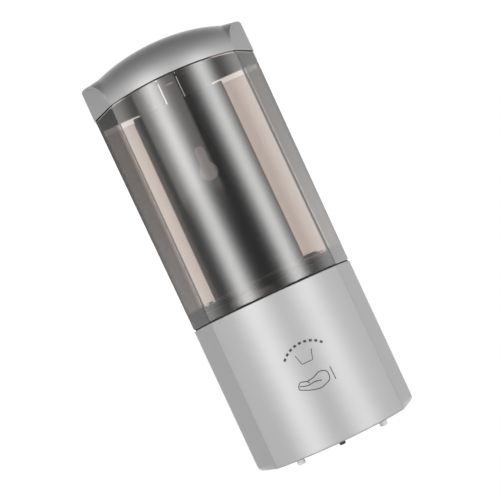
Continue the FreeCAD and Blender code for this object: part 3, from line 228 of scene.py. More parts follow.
@dataclass(frozen=True)
class Finish:
    """A surface finish, as one material.

    The colours are linear. The grain is given by its scale per metre and its depth in metres.
    """

    name: str
    colour: tuple[float, float, float]
    roughness: float = 0.5
    metallic: float = 0.0
    grain_scale: float = 900.0
    grain_depth: float = 0.00002
    drift: float = 0.06
    edge: tuple[float, float, float] | None = None
    edge_amount: float = 0.35
    dust: float = 0.10
    flake: float = 0.0
    coat: float = 0.0
    sheen: float = 0.0
    alpha: float = 1.0
    transmission: float = 0.0
    ior: float = 1.45
    subsurface: float = 0.0
    absorb: tuple[float, float, float] | None = None
    coat_ior: float = 1.5
    coat_edge: float | None = None
    # Painted shade: the share of the clear colour kept on the side facets and beside the back recess.
    painted_shade: tuple[float, float] | None = None

    def group(self, tree: Tree, shader: Shader, **values: float) -> bpy.types.Node:
        """Place a shared group in the material with its own values."""
        node = tree.nodes.new("ShaderNodeGroup")
        node.node_tree = bpy.data.node_groups[shader.value]
        for label, value in values.items():
            node.inputs[label.replace("_", " ")].default_value = value
        return node

    def blend(self, tree: Tree, kind: str, factor: object, first: object,
              second: object) -> Socket:
        """Mix two colours; each may be a socket or a colour."""
        node = tree.nodes.new("ShaderNodeMix")
        node.data_type = "RGBA"
        node.blend_type = kind
        for socket, value in ((node.inputs[0], factor), (node.inputs[6], first), (node.inputs[7], second)):
            if isinstance(value, Socket):
                tree.links.new(value, socket)
            elif isinstance(value, float):
                socket.default_value = value
            else:
                socket.default_value = (*value, 1.0)
        return node.outputs[2]

    def add_depth(self, tree: Tree, shader: bpy.types.Node) -> None:
        """Darken a clear material with the depth of it that is looked through, and coat its front.

        Args:
            tree: the material's tree.
            shader: its main shader.
        """
        if self.absorb:
            strongest = max(self.absorb) * 1.05
            depth = tree.nodes.new("ShaderNodeVolumeAbsorption")
            depth.inputs["Density"].default_value = strongest
            depth.inputs["Color"].default_value = (*(1 - share / strongest for share in self.absorb), 1.0)
            tree.links.new(depth.outputs[0], tree.nodes["Material Output"].inputs["Volume"])
        if self.coat_edge is not None:
            parts = tree.nodes.new("ShaderNodeSeparateXYZ")
            tree.links.new(object_position(tree), parts.inputs[0])
            ahead = math_node(tree, "LESS_THAN", parts.outputs["Y"], self.coat_edge)
            tree.links.new(math_node(tree, "MULTIPLY", ahead, self.coat), shader.inputs["Coat Weight"])

    def shaded(self, tree: Tree) -> Socket:
        """The colour of a clear material, with painted shade that darkens it on its side facets and beside the recess
        in its back.

        Args:
            tree: the material's tree.

        Returns:
            The colour.
        """
        parts = tree.nodes.new("ShaderNodeSeparateXYZ")
        tree.links.new(object_position(tree), parts.inputs[0])
        side = math_node(tree, "ABSOLUTE", parts.outputs["X"])
        # Painted shade: masks of the side facets and of the strip beside the back recess, where the colour is darkened.
        facet = math_node(tree, "MULTIPLY", math_node(tree, "GREATER_THAN", side, FACET_FROM),
                          math_node(tree, "LESS_THAN", parts.outputs["Y"], FACET_AHEAD_OF))
        recess = math_node(tree, "MULTIPLY", math_node(tree, "LESS_THAN", side, RECESS_WITHIN),
                           math_node(tree, "GREATER_THAN", parts.outputs["Y"], RECESS_BEHIND))
        tone = self.blend(tree, "MIX", facet, self.colour, tuple(self.painted_shade[0] * c for c in self.colour))
        return self.blend(tree, "MIX", recess, tone, tuple(self.painted_shade[1] * c for c in self.colour))

    def build(self) -> bpy.types.Material:
        """Make the material, or find it if it is already made.

        Returns:
            The material.
        """
        found = bpy.data.materials.get(self.name)
        if found:
            return found
        material = bpy.data.materials.new(self.name)
        material.use_nodes = True
        tree = material.node_tree
        shader = tree.nodes["Principled BSDF"]
        shader.inputs["Metallic"].default_value = self.metallic
        shader.inputs["IOR"].default_value = self.ior
        shader.inputs["Coat Weight"].default_value = self.coat
        shader.inputs["Coat Roughness"].default_value = 0.12
        shader.inputs["Coat IOR"].default_value = self.coat_ior
        shader.inputs["Sheen Weight"].default_value = self.sheen
        shader.inputs["Alpha"].default_value = self.alpha
        shader.inputs["Transmission Weight"].default_value = self.transmission
        shader.inputs["Subsurface Weight"].default_value = self.subsurface
        shader.inputs["Subsurface Scale"].default_value = 0.002
        if self.transmission > 0.5:
            shader.inputs["Base Color"].default_value = (*self.colour, 1.0)
            # Painted shade darkens the clear colour on the side facets and beside the back recess.
            if self.painted_shade:
                tree.links.new(self.shaded(tree), shader.inputs["Base Color"])
            haze = self.group(tree, Shader.GRAIN, Scale=self.grain_scale, Drift_Scale=18.0)
            rough = math_node(tree, "MULTIPLY_ADD", haze.outputs["Drift"], self.roughness)
            rough.node.inputs[2].default_value = self.roughness * 0.5
            tree.links.new(rough, shader.inputs["Roughness"])
            self.add_depth(tree, shader)
            return material
        grain = self.group(tree, Shader.GRAIN, Scale=self.grain_scale, Drift_Scale=22.0)
        drift = math_node(tree, "MULTIPLY_ADD", grain.outputs["Drift"], self.drift * 2)
        drift.node.inputs[2].default_value = 1.0 - self.drift
        tone = self.blend(tree, "MULTIPLY", 1.0, self.colour, drift)
        if self.flake:
            flake = self.group(tree, Shader.FLAKE, Strength=self.flake)
            tone = self.blend(tree, "MULTIPLY", 1.0, tone, flake.outputs["Tone"])
        if self.edge:
            wear = self.group(tree, Shader.WEAR)
            mask = math_node(tree, "MULTIPLY", wear.outputs["Mask"], self.edge_amount, clamp=True)
            tone = self.blend(tree, "MIX", mask, tone, self.edge)
        dust = self.group(tree, Shader.DUST, Amount=self.dust)
        tone = self.blend(tree, "MIX", dust.outputs["Mask"], tone, (0.62, 0.60, 0.57))
        tree.links.new(tone, shader.inputs["Base Color"])
        rough = math_node(tree, "MULTIPLY_ADD", grain.outputs["Drift"], 0.10)
        rough.node.inputs[2].default_value = self.roughness - 0.05
        rough = math_node(tree, "ADD", rough, dust.outputs["Mask"], clamp=True)
        tree.links.new(rough, shader.inputs["Roughness"])
        bump = tree.nodes.new("ShaderNodeBump")
        bump.inputs["Distance"].default_value = self.grain_depth
        bump.inputs["Strength"].default_value = 1.0
        tree.links.new(grain.outputs["Height"], bump.inputs["Height"])
        tree.links.new(bump.outputs["Normal"], shader.inputs["Normal"])
        return material


SILVER = Finish("satin_silver", (0.45, 0.45, 0.455), 0.49, 0.90, 2600, 0.0000015, 0.03, (0.55, 0.55, 0.56), 0.25,
                0.05, 0.05)
# The smoked tank keeps a quarter of its colour on its side facets and a little less beside its back recess, as painted
# shade.
SMOKED = Finish("smoked_clear", (0.93, 0.92, 0.91), 0.010, transmission=1.0, ior=1.49, grain_scale=40,
                absorb=(85.0, 120.0, 142.0), coat=1.0, coat_ior=1.9, coat_edge=-0.040,
                painted_shade=(0.25, 0.22))
CLEAR = Finish("clear_lens", (0.92, 0.93, 0.95), 0.03, transmission=1.0, ior=1.5, grain_scale=40)
FRAME = Finish("dark_moulding", (0.012, 0.0105, 0.0105), 0.42, 0.0, 1500, 0.00002, 0.10,
               (0.07, 0.066, 0.064), 0.35, 0.06)
DECK = Finish("deck_moulding", (0.030, 0.029, 0.030), 0.38, 0.0, 1500, 0.00002, 0.10, (0.07, 0.07, 0.07), 0.3, 0.04)
RUBBER = Finish("black_rubber", (0.018, 0.018, 0.018), 0.72, 0.0, 1100, 0.00003, 0.15, None, 0, 0.10, sheen=0.1)
FOOT = Finish("milky_rubber", (0.66, 0.66, 0.65), 0.45, 0.0, 900, 0.00002, 0.05, None, 0, 0.05, subsurface=0.4)
STEEL = Finish("zinc_steel", (0.60, 0.60, 0.62), 0.33, 1.0, 1800, 0.000008, 0.12, (0.85, 0.85, 0.86), 0.4, 0.03)
SPRING = Finish("nickel_wire", (0.68, 0.66, 0.62), 0.22, 1.0, 1500, 0.000004, 0.08, None, 0, 0.02)
JACKET = Finish("cell_jacket", (0.035, 0.040, 0.055), 0.25, 0.0, 500, 0.000004, 0.08, (0.2, 0.2, 0.22), 0.2, 0.04,
                coat=0.5)
BAND = Finish("cell_band", (0.55, 0.30, 0.08), 0.28, 0.6, 500, 0.000004, 0.05, None, 0, 0.04, coat=0.5)
BRASS = Finish("plated_brass", (0.70, 0.60, 0.40), 0.28, 1.0, 1300, 0.000006, 0.12, (0.85, 0.75, 0.55), 0.3, 0.03)
ACETAL = Finish("natural_acetal", (0.80, 0.78, 0.72), 0.38, 0.0, 900, 0.000015, 0.04, None, 0, 0.05, subsurface=0.15)
PUMP = Finish("pump_moulding", (0.70, 0.70, 0.66), 0.48, 0.0, 1200, 0.00002, 0.05, (0.82, 0.82, 0.8), 0.2, 0.08)
WINDING = Finish("copper_winding", (0.66, 0.30, 0.14), 0.30, 0.9, 2500, 0.00008, 0.20, None, 0, 0.04)
SILICONE = Finish("milky_silicone", (0.78, 0.80, 0.79), 0.30, 0.0, 700, 0.00001, 0.03, None, 0, 0.04, subsurface=0.5)
NOZZLE = Finish("black_nozzle", (0.010, 0.010, 0.011), 0.22, 0.0, 700, 0.000004, 0.05, (0.05, 0.05, 0.05), 0.3, 0.03)
LENS = Finish("infrared_lens", (0.020, 0.006, 0.010), 0.08, 0.0, 400, 0.000002, 0.05, None, 0, 0.02, coat=0.6)
DARK_LENS = Finish("dark_epoxy", (0.02, 0.02, 0.025), 0.10, 0.0, 400, 0.000002, 0.05, None, 0, 0.02, coat=0.4)
RED_LENS = Finish("red_lens", (0.45, 0.03, 0.02), 0.22, 0.0, 400, 0.000002, 0.05, None, 0, 0.02, subsurface=0.3)
BOARD = Finish("solder_mask", (0.010, 0.085, 0.035), 0.30, 0.0, 500, 0.00001, 0.12, (0.3, 0.25, 0.1), 0.2, 0.05,
               coat=0.3)
CHIP = Finish("chip_epoxy", (0.015, 0.015, 0.017), 0.55, 0.0, 1800, 0.00001, 0.06, None, 0, 0.06)
SLEEVE = Finish("capacitor_sleeve", (0.012, 0.020, 0.075), 0.22, 0.0, 400, 0.000002, 0.05, None, 0, 0.03, coat=0.4)
NYLON = Finish("natural_nylon", (0.78, 0.75, 0.64), 0.42, 0.0, 900, 0.00001, 0.04, None, 0, 0.05)
RED_WIRE = Finish("red_insulation", (0.45, 0.02, 0.015), 0.38, 0.0, 700, 0.00001, 0.05, None, 0, 0.04)
INK = Finish("screen_ink", (0.035, 0.035, 0.038), 0.50, 0.0, 1500, 0.000004, 0.10, None, 0, 0.02)
FLOOR = Finish("pale_floor", (0.86, 0.86, 0.85), 0.62, 0.0, 60, 0.0001, 0.02, None, 0, 0.0)

SLOT_FINISH: dict[str, Finish] = {
    "silver_shell": SILVER, "clear_tank": SMOKED, "dark_frame": FRAME, "deck_plastic": DECK,
    "soft_rubber": RUBBER, "clear_rubber": FOOT, "steel": STEEL, "spring_steel": SPRING,
    "cell_jacket": JACKET, "contact_metal": BRASS, "gear_plastic": ACETAL, "pump_plastic": PUMP,
    "copper_winding": WINDING, "tube_silicone": SILICONE, "nozzle_plastic": NOZZLE, "sensor_plastic": LENS,
    "led_clear": CLEAR, "led_dark": DARK_LENS, "led_red": RED_LENS, "circuit_board": BOARD,
    "chip_black": CHIP, "capacitor_sleeve": SLEEVE, "connector_plastic": NYLON, "wire_insulation": RED_WIRE,
}


# ------------------------------------------------------------------ mesh helpers

def finish_mesh(name: str, work: Skin, finish: Finish, smooth_angle: float = 35.0) -> Item:
    """Turn a bmesh into a finished, shaded object at the origin.

    Args:
        name: the object's name.
        work: the bmesh, which is freed.
        finish: its material.
        smooth_angle: edges sharper than this stay sharp, in degrees.

    Returns:
        The object.
    """
    bmesh.ops.remove_doubles(work, verts=work.verts, dist=1e-7)
    bmesh.ops.recalc_face_normals(work, faces=work.faces)
    mesh = bpy.data.meshes.new(name)
    work.to_mesh(mesh)
    work.free()
    item = bpy.data.objects.new(name, mesh)
    bpy.context.scene.collection.objects.link(item)
    mesh.materials.append(finish.build())
    mesh.shade_smooth()
    mesh.set_sharp_from_angle(angle=math.radians(smooth_angle))
    return item


def stack(work: Skin, loops: Sequence[Loop], close_first: bool = True, close_last: bool = True) -> None:
    """Join closed loops of equal length, one after another, into a closed skin.

    Args:
        work: the bmesh to add to.
        loops: the loops, in order along the skin.
        close_first: whether the first loop is filled.
        close_last: whether the last loop is filled.
    """
    rings = [[work.verts.new(point) for point in loop] for loop in loops]
    count = len(rings[0])
    for lower, upper in zip(rings, rings[1:]):
        for index in range(count):
            following = (index + 1) % count
            work.faces.new((lower[index], lower[following], upper[following], upper[index]))
    caps = ([rings[0]] if close_first else []) + ([rings[-1]] if close_last else [])
    made = [work.faces.new(ring) for ring in caps]
    if made:
        bmesh.ops.triangulate(work, faces=made)


def corner_fillet(before: Point, corner: Point, after: Point, setback: float, steps: int) -> list[Point]:
    """Round one corner of a flat outline.

    Args:
        before: a point on the way in.
        corner: the corner.
        after: a point on the way out.
        setback: how far from the corner the rounding starts.
        steps: how many points it has.

    Returns:
        The points that take the corner's place.
    """
    into = Vector((corner[0] - before[0], corner[1] - before[1]))
    out = Vector((after[0] - corner[0], after[1] - corner[1]))
    reach = min(setback, into.length * 0.40, out.length * 0.40)
    start = Vector(corner) - into.normalized() * reach
    end = Vector(corner) + out.normalized() * reach
    hold = min(0.3 * MM, reach * 0.1)
    points = [tuple(start - into.normalized() * hold)]
    for step in range(steps):
        share = step / (steps - 1)
        a = start.lerp(Vector(corner), share)
        b = Vector(corner).lerp(end, share)
        spot = a.lerp(b, share)
        points.append((spot.x, spot.y))
    points.append(tuple(end + out.normalized() * hold))
    return points


def cut_away(target: Item, cutters: Iterable[Item]) -> None:
    """Cut closed shapes out of a piece and drop them.

    Args:
        target: the piece.
        cutters: the shapes, which are removed afterwards.
    """
    tools = list(cutters)
    for tool in tools:
        modifier = target.modifiers.new("opening", "BOOLEAN")
        modifier.operation = "DIFFERENCE"
        modifier.solver = "EXACT"
        modifier.object = tool
    apply_modifiers(target)
    for tool in tools:
        bpy.data.objects.remove(tool)


def apply_modifiers(target: Item) -> None:
    """Replace a piece's mesh by its evaluated mesh, and remove its modifiers."""
    graph = bpy.context.evaluated_depsgraph_get()
    graph.update()
    mesh = bpy.data.meshes.new_from_object(target.evaluated_get(graph))
    target.modifiers.clear()
    target.data = mesh


def box_tool(low: Sequence[float], high: Sequence[float]) -> Item:
    """A closed box for cutting, between two corners."""
    work = bmesh.new()
    bmesh.ops.create_cube(work, size=1.0)
    size = Vector(high) - Vector(low)
    bmesh.ops.scale(work, vec=size, verts=work.verts)
    bmesh.ops.translate(work, vec=(Vector(high) + Vector(low)) / 2, verts=work.verts)
    return plain_object("box_tool", work)


def round_tool(radius: float, low: Sequence[float], high: Sequence[float], sides: int = 48) -> Item:
    """A closed cylinder for cutting, between two points."""
    work = bmesh.new()
    axis = Vector(high) - Vector(low)
    turn = axis.to_track_quat("Z", "Y").to_matrix().to_4x4()
    place = Matrix.Translation((Vector(high) + Vector(low)) / 2) @ turn
    bmesh.ops.create_cone(work, cap_ends=True, segments=sides, radius1=radius, radius2=radius,
                          depth=axis.length, matrix=place)
    return plain_object("round_tool", work)


def plain_object(name: str, work: Skin) -> Item:
    """A bmesh as a linked object with no material."""
    mesh = bpy.data.meshes.new(name)
    work.to_mesh(mesh)
    work.free()
    item = bpy.data.objects.new(name, mesh)
    bpy.context.scene.collection.objects.link(item)
    return item


def settle(piece: Item, body: str, slot: str, *nodes: str) -> Item:
    """Hand a finished piece to the frame.

    Args:
        piece: the piece.
        body: the body it moves with.
        slot: the record's material slot; not used.
        nodes: the CAD nodes it stands for.

    Returns:
        The piece.
    """
    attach(piece, body)
    if nodes:
        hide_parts(*nodes)
    log.info("%s: %d faces, on %s", piece.name, len(piece.data.polygons), body)
    return piece


# ------------------------------------------------------------------ the casing's outline

@dataclass
class CaseOutline:
    """The casing seen from above: flat sides, two flat facets and a bowed front."""

    depth: float = 0.0
    crease_half: float = 41.85 * MM
    crease_depth: float = 79.0 * MM
    side_depth: float = 58.5 * MM
    front_steps: int = 72
    corner_steps: int = 5

    def __post_init__(self) -> None:
        """Take the depth from the frame."""
        self.depth = -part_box("front_cover")[0].y
        rise = self.depth - self.crease_depth
        self.radius = (self.crease_half ** 2 + rise ** 2) / (2 * rise)
        self.centre = -self.depth + self.radius

    def front_at(self, x: float, inset: float = 0.0) -> float:
        """Where the bowed front is at a distance from the middle."""
        radius = self.radius - inset
        return self.centre - math.sqrt(max(radius ** 2 - x ** 2, 0.0))

    def corners(self, half: float, inset: float) -> tuple[Point, Point]:
        """The right side's two corners, moved inwards.

        Args:
            half: the half width at this height.
            inset: how far the outline is moved in.

        Returns:
            The corner between side and facet, and the one between facet and front.
        """
        along = Vector((self.crease_half - half, -self.crease_depth + self.side_depth)).normalized()
        inward = Vector((along.y, -along.x))
        if inward.x > 0:
            inward = -inward
        base = Vector((half, -self.side_depth)) + inward * inset
        side_share = (half - inset - base.x) / along.x
        side = base + along * side_share
        radius = self.radius - inset
        offset = base - Vector((0, self.centre))
        product = offset.dot(along)
        share = -product + math.sqrt(product ** 2 - offset.length_squared + radius ** 2)
        front = base + along * share
        return (side.x, side.y), (front.x, front.y)

    def loop(self, half: float, height: float, inset: float = 0.0, back: float = 0.0,
             recess: tuple[float, float] | None = None, soft: tuple[float, float] = (0.8 * MM, 0.5 * MM)) -> Loop:
        """The outline at one height, as a closed loop.

        Args:
            half: the half width there.
            height: the height.
            inset: how far the outline is moved in.
            back: where the back face is along Y.
            recess: the half width and the depth of a recess in the back.
            soft: the setbacks that round the side corner and the crease.

        Returns:
            The loop, always with the same number of points for the same kind of outline.
        """
        side, crease = self.corners(half, inset)
        angle = math.asin(crease[0] / (self.radius - inset))
        step = 2 * angle / self.front_steps
        edge = (half - inset, back)
        near_front = (self.radius - inset) * math.sin(angle - step), self.centre - (
            self.radius - inset) * math.cos(angle - step)
        right = [edge]
        right += corner_fillet(edge, side, crease, soft[0], self.corner_steps)
        right += corner_fillet(side, crease, near_front, soft[1], self.corner_steps)
        front = []
        for index in range(1, self.front_steps):
            turn = angle - step * index
            front.append(((self.radius - inset) * math.sin(turn), self.centre - (self.radius - inset) * math.cos(turn)))
        left = [(-x, y) for x, y in reversed(right)]
        points = right + front + left
        if recess:
            wide, deep = recess
            rear = [(-wide, back), (-wide, deep), (wide, deep), (wide, back)]
            rounded = [rear[0]]
            rounded += corner_fillet(rear[0], rear[1], rear[2], 1.2 * MM, self.corner_steps)
            rounded += corner_fillet(rear[1], rear[2], rear[3], 1.2 * MM, self.corner_steps)
            rounded.append(rear[3])
            points += rounded
        return [Vector((x, y, height)) for x, y in points]

    def on_front(self, across: float, height: float, lift: float = 0.0) -> Vector:
        """A point of the bowed front, by its distance along the bow."""
        angle = across / self.radius
        radius = self.radius + lift
        return Vector((radius * math.sin(angle), self.centre - radius * math.cos(angle), height))


OUTLINE = CaseOutline()


# ------------------------------------------------------------------ base

@dataclass
class BaseCover:
    """The silver front cover of the base, with the marks printed on it."""

    wall: float = 2.2 * MM
    lower_round: float = 4.5 * MM
    edge_round: float = 0.7 * MM
    low_half: float = 52.35 * MM
    bottom: float = 0.0
    top: float = field(init=False)
    high_half: float = field(init=False)
    back: float = field(init=False)

    def __post_init__(self) -> None:
        """Take the cover's limits from the frame."""
        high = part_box("front_cover")[1]
        self.top = high.z
        self.high_half = high.x
        self.back = high.y

    def half_at(self, height: float) -> float:
        """The half width of the outer face at a height."""
        share = (height - self.bottom) / (self.top - self.bottom)
        return self.low_half + (self.high_half - self.low_half) * share

    def section(self, height: float, inset: float) -> Loop:
        """The outline of the outer skin at a height, drawn in where the lower corners are rounded."""
        half = self.half_at(height)
        loop = OUTLINE.loop(half, height, inset, self.back)
        rise = height - self.bottom
        if rise < self.lower_round:
            reach = half - self.lower_round + math.sqrt(
                max(self.lower_round ** 2 - (self.lower_round - rise) ** 2, 0.0))
            for point in loop:
                point.x = max(-reach, min(reach, point.x))
        return loop

    def build_shell(self) -> Item:
        """The cover: one closed skin with a rim above, open inside and behind."""
        edge = self.edge_round
        loops: list[Loop] = []
        for step in range(4):
            turn = math.pi / 2 * step / 4
            loops.append(self.section(self.bottom + edge * (1 - math.cos(turn)), edge * (1 - math.sin(turn))))
        for step in range(1, 7):
            loops.append(self.section(self.bottom + self.lower_round * step / 6, 0.0))
        for share in (0.006, 0.25, 0.5, 0.75, 0.990):
            loops.append(self.section(self.lower_round + (self.top - self.lower_round) * share, 0.0))
        rim = 0.35 * MM
        for step in range(4):
            turn = math.pi / 2 * step / 3
            loops.append(self.section(self.top - rim * (1 - math.sin(turn)), rim * (1 - math.cos(turn))))
        loops.append(self.section(self.top, self.wall - rim))
        loops.append(self.section(self.top - rim, self.wall))
        loops.append(self.section(self.top - rim * 3, self.wall))
        floor = self.bottom + self.wall
        loops.append(self.section(self.lower_round + self.wall, self.wall))
        loops.append(self.section(floor, self.wall))
        work = bmesh.new()
        stack(work, loops)
        return finish_mesh("front_cover_shell", work, SILVER, 30)

    def openings(self) -> list[Item]:
        """The tools that cut the open back and the holes in the floor."""
        floor = self.wall * 2.5
        tools = [box_tool((-self.high_half + self.wall, self.back - 1.5 * MM, self.wall + 1e-5),
                          (self.high_half - self.wall, self.back + 5 * MM, self.top + 5 * MM))]
        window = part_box("sensor_window")
        tools.append(box_tool((window[0].x - 0.1 * MM, window[0].y - 0.1 * MM, -floor),
                              (window[1].x + 0.1 * MM, window[1].y + 0.1 * MM, floor)))
        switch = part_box("power_switch_slider")
        travel = next(j["range_m"][1] for j in frame["joints"] if j["name"] == "power_switch_slide")
        tools.append(box_tool((switch[0].x - 0.2 * MM, switch[0].y - 0.1 * MM, -floor),
                              (switch[1].x + 0.2 * MM, switch[1].y + travel + 0.2 * MM, floor)))
        for node, radius in (("nozzle", 5.3 * MM), ("status_led", 1.6 * MM)):
            low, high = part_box(node)
            x, y = (low.x + high.x) / 2, (low.y + high.y) / 2
            tools.append(round_tool(radius, (x, y, -floor), (x, y, floor)))
        return tools

    def build(self) -> None:
        """Build the cover and its marks."""
        shell = self.build_shell()
        cut_away(shell, self.openings())
        shell.data.set_sharp_from_angle(angle=math.radians(30))
        settle(shell, "casing", "silver_shell", "front_cover")
        PrintedMarks(self).build()


@dataclass
class PrintedMarks:
    """Plain marks on the cover: an arc of dashes, a spout and an open hand."""

    cover: BaseCover
    stroke: float = 0.55 * MM
    lift: float = 0.03 * MM
    arc_centre: Point = (1.2 * MM, 45.0 * MM)
    arc_radius: float = 17.2 * MM
    dashes: int = 9

    def ribbon(self, work: Skin, points: Sequence[Point], width: float, closed: bool = False) -> None:
        """Lay a stroke of ink along points given across and up the bowed front.

        Args:
            work: the bmesh to add to.
            points: the stroke's centre line.
            width: the stroke's width.
            closed: whether the stroke joins its own start.
        """
        dense: list[Vector] = []
        pairs = list(zip(points, points[1:] + (points[:1] if closed else [])))
        for (x0, z0), (x1, z1) in pairs:
            count = max(1, round(math.hypot(x1 - x0, z1 - z0) / (0.8 * MM)))
            dense += [Vector((x0, z0)).lerp(Vector((x1, z1)), index / count) for index in range(count)]
        if not closed:
            dense.append(Vector(points[-1]))
        total = len(dense)
        rails = []
        for index, spot in enumerate(dense):
            before = dense[index - 1] if closed or index else spot
            after = dense[(index + 1) % total] if closed or index < total - 1 else spot
            along = (after - before).normalized()
            side = Vector((-along.y, along.x)) * width / 2
            rails.append([self.place(spot + side, 1), self.place(spot - side, 1),
                          self.place(spot - side, 0), self.place(spot + side, 0)])
        rings = [[work.verts.new(corner) for corner in rail] for rail in rails]
        spans = list(zip(rings, rings[1:] + (rings[:1] if closed else [])))
        for near, far in spans:
            for index in range(4):
                following = (index + 1) % 4
                work.faces.new((near[index], near[following], far[following], far[index]))
        if not closed:
            work.faces.new(rings[0])
            work.faces.new(rings[-1])

    def place(self, spot: Vector, level: int) -> Vector:
        """A point of the ink's upper or lower face."""
        return OUTLINE.on_front(spot.x, spot.y, self.lift if level else -self.lift)

    def arc(self, centre: Point, radius: float, start: float, end: float, steps: int) -> list[Point]:
        """Points along an arc, with angles in degrees from the right."""
        points = []
        for step in range(steps + 1):
            angle = math.radians(start + (end - start) * step / steps)
            points.append((centre[0] + radius * math.cos(angle), centre[1] + radius * math.sin(angle)))
        return points

    def build(self) -> None:
        """Build all the marks as one piece."""
        work = bmesh.new()
        span = 100.0 / self.dashes
        for index in range(self.dashes):
            middle = 142.0 - span * (index + 0.5)
            self.ribbon(work, self.arc(self.arc_centre, self.arc_radius, middle + span * 0.27,
                                       middle - span * 0.27, 3), self.stroke * 2.6)
        self.ribbon(work, [(-4.9 * MM, 56.6 * MM), (-3.2 * MM, 50.4 * MM), (3.6 * MM, 50.4 * MM),
                           (5.6 * MM, 56.6 * MM)], self.stroke * 0.8)
        for stroke in self.hand():
            self.ribbon(work, stroke, self.stroke)
        marks = finish_mesh("printed_marks", work, INK, 50)
        settle(marks, "casing", "nozzle_plastic")

    def hand(self) -> list[list[Point]]:
        """An open hand of our own design, held out below the spout, as strokes."""
        def scaled(points: Sequence[Point]) -> list[Point]:
            return [(x * MM, z * MM) for x, z in points]

        def smooth(points: Sequence[Point]) -> list[Point]:
            points = scaled(points)
            result = [points[0]]
            for before, corner, after in zip(points, points[1:], points[2:]):
                result += corner_fillet(before, corner, after, 2.2 * MM, 6)
            return result + [points[-1]]

        palm = smooth([(-10.6, 39.4), (-10.9, 37.4), (-4.6, 34.6),
                       (1.2, 33.2), (8.4, 35.6), (8.8, 41.0),
                       (4.4, 42.9), (-0.6, 40.6), (-4.6, 40.2)])
        finger = smooth([(-10.6, 39.4), (-8.8, 41.4), (-4.6, 40.2),
                         (-3.6, 38.6)])
        thumb = smooth([(-10.0, 39.2), (-5.4, 37.6), (-0.4, 38.4),
                        (3.4, 37.4)])
        cuff = scaled([(11.4, 34.4), (11.2, 42.6)])
        return [palm, finger, thumb, cuff]


# ------------------------------------------------------------------ tank

@dataclass
class Tank:
    """The smoked clear tank, with its skirt, floor and the recess down its back."""

    wall: float = 2.4 * MM
    floor_low: float = 101.5 * MM
    rim: float = 0.5 * MM
    recess_half: float = 30.0 * MM
    recess_depth: float = -18.0 * MM
    low: float = field(init=False)
    high: float = field(init=False)
    low_half: float = 53.0 * MM
    high_half: float = field(init=False)
    back: float = field(init=False)

    def __post_init__(self) -> None:
        """Take the tank's limits from the frame."""
        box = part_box("tank")
        self.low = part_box("deck_gasket")[1].z
        self.high = box[1].z
        self.high_half = box[1].x
        self.back = box[1].y

    def half_at(self, height: float) -> float:
        """The half width of the outer face at a height."""
        share = (height - self.low) / (self.high - self.low)
        return self.low_half + (self.high_half - self.low_half) * share

    def outer(self, height: float, inset: float = 0.0) -> Loop:
        """The outer skin at a height."""
        return OUTLINE.loop(self.half_at(height), height, inset, self.back - inset,
                            (self.recess_half + inset, self.recess_depth - inset))

    def inner(self, height: float, inset: float = 0.0) -> Loop:
        """The inner skin at a height, moved further in where it meets the floor."""
        shift = self.wall + inset
        return OUTLINE.loop(self.half_at(height), height, shift, self.back - shift,
                            (self.recess_half + shift, self.recess_depth - shift), (2.4 * MM, 1.6 * MM))

    def build(self) -> None:
        """Build the tank as one closed wall."""
        rim = self.rim
        loops: list[Loop] = [self.inner(self.floor_low), self.inner(self.low + rim, 0.0),
                             self.inner(self.low, -rim * 0.6)]
        for step in range(4):
            turn = math.pi / 2 * step / 3
            loops.append(self.outer(self.low + rim * (1 - math.cos(turn)), rim * (1 - math.sin(turn))))
        for share in (0.008, 0.3, 0.6, 0.992):
            loops.append(self.outer(self.low + (self.high - self.low) * share))
        for step in range(4):
            turn = math.pi / 2 * step / 3
            loops.append(self.outer(self.high - rim * (1 - math.sin(turn)), rim * (1 - math.cos(turn))))
        loops.append(self.inner(self.high, -rim * 0.6))
        loops.append(self.inner(self.high - rim))
        loops.append(self.inner(self.high - rim * 2.5))
        floor = self.floor_low + self.wall
        soft = 3.0 * MM
        loops.append(self.inner(floor + soft * 1.4))
        for step in range(5):
            turn = math.pi / 2 * step / 4
            loops.append(self.inner(floor + soft * (1 - math.sin(turn)), soft * (1 - math.cos(turn))))
        work = bmesh.new()
        stack(work, loops)
        tank = finish_mesh("tank_shell", work, SMOKED, 40)
        settle(tank, "casing", "clear_tank", "tank")


# ------------------------------------------------------------------ lid

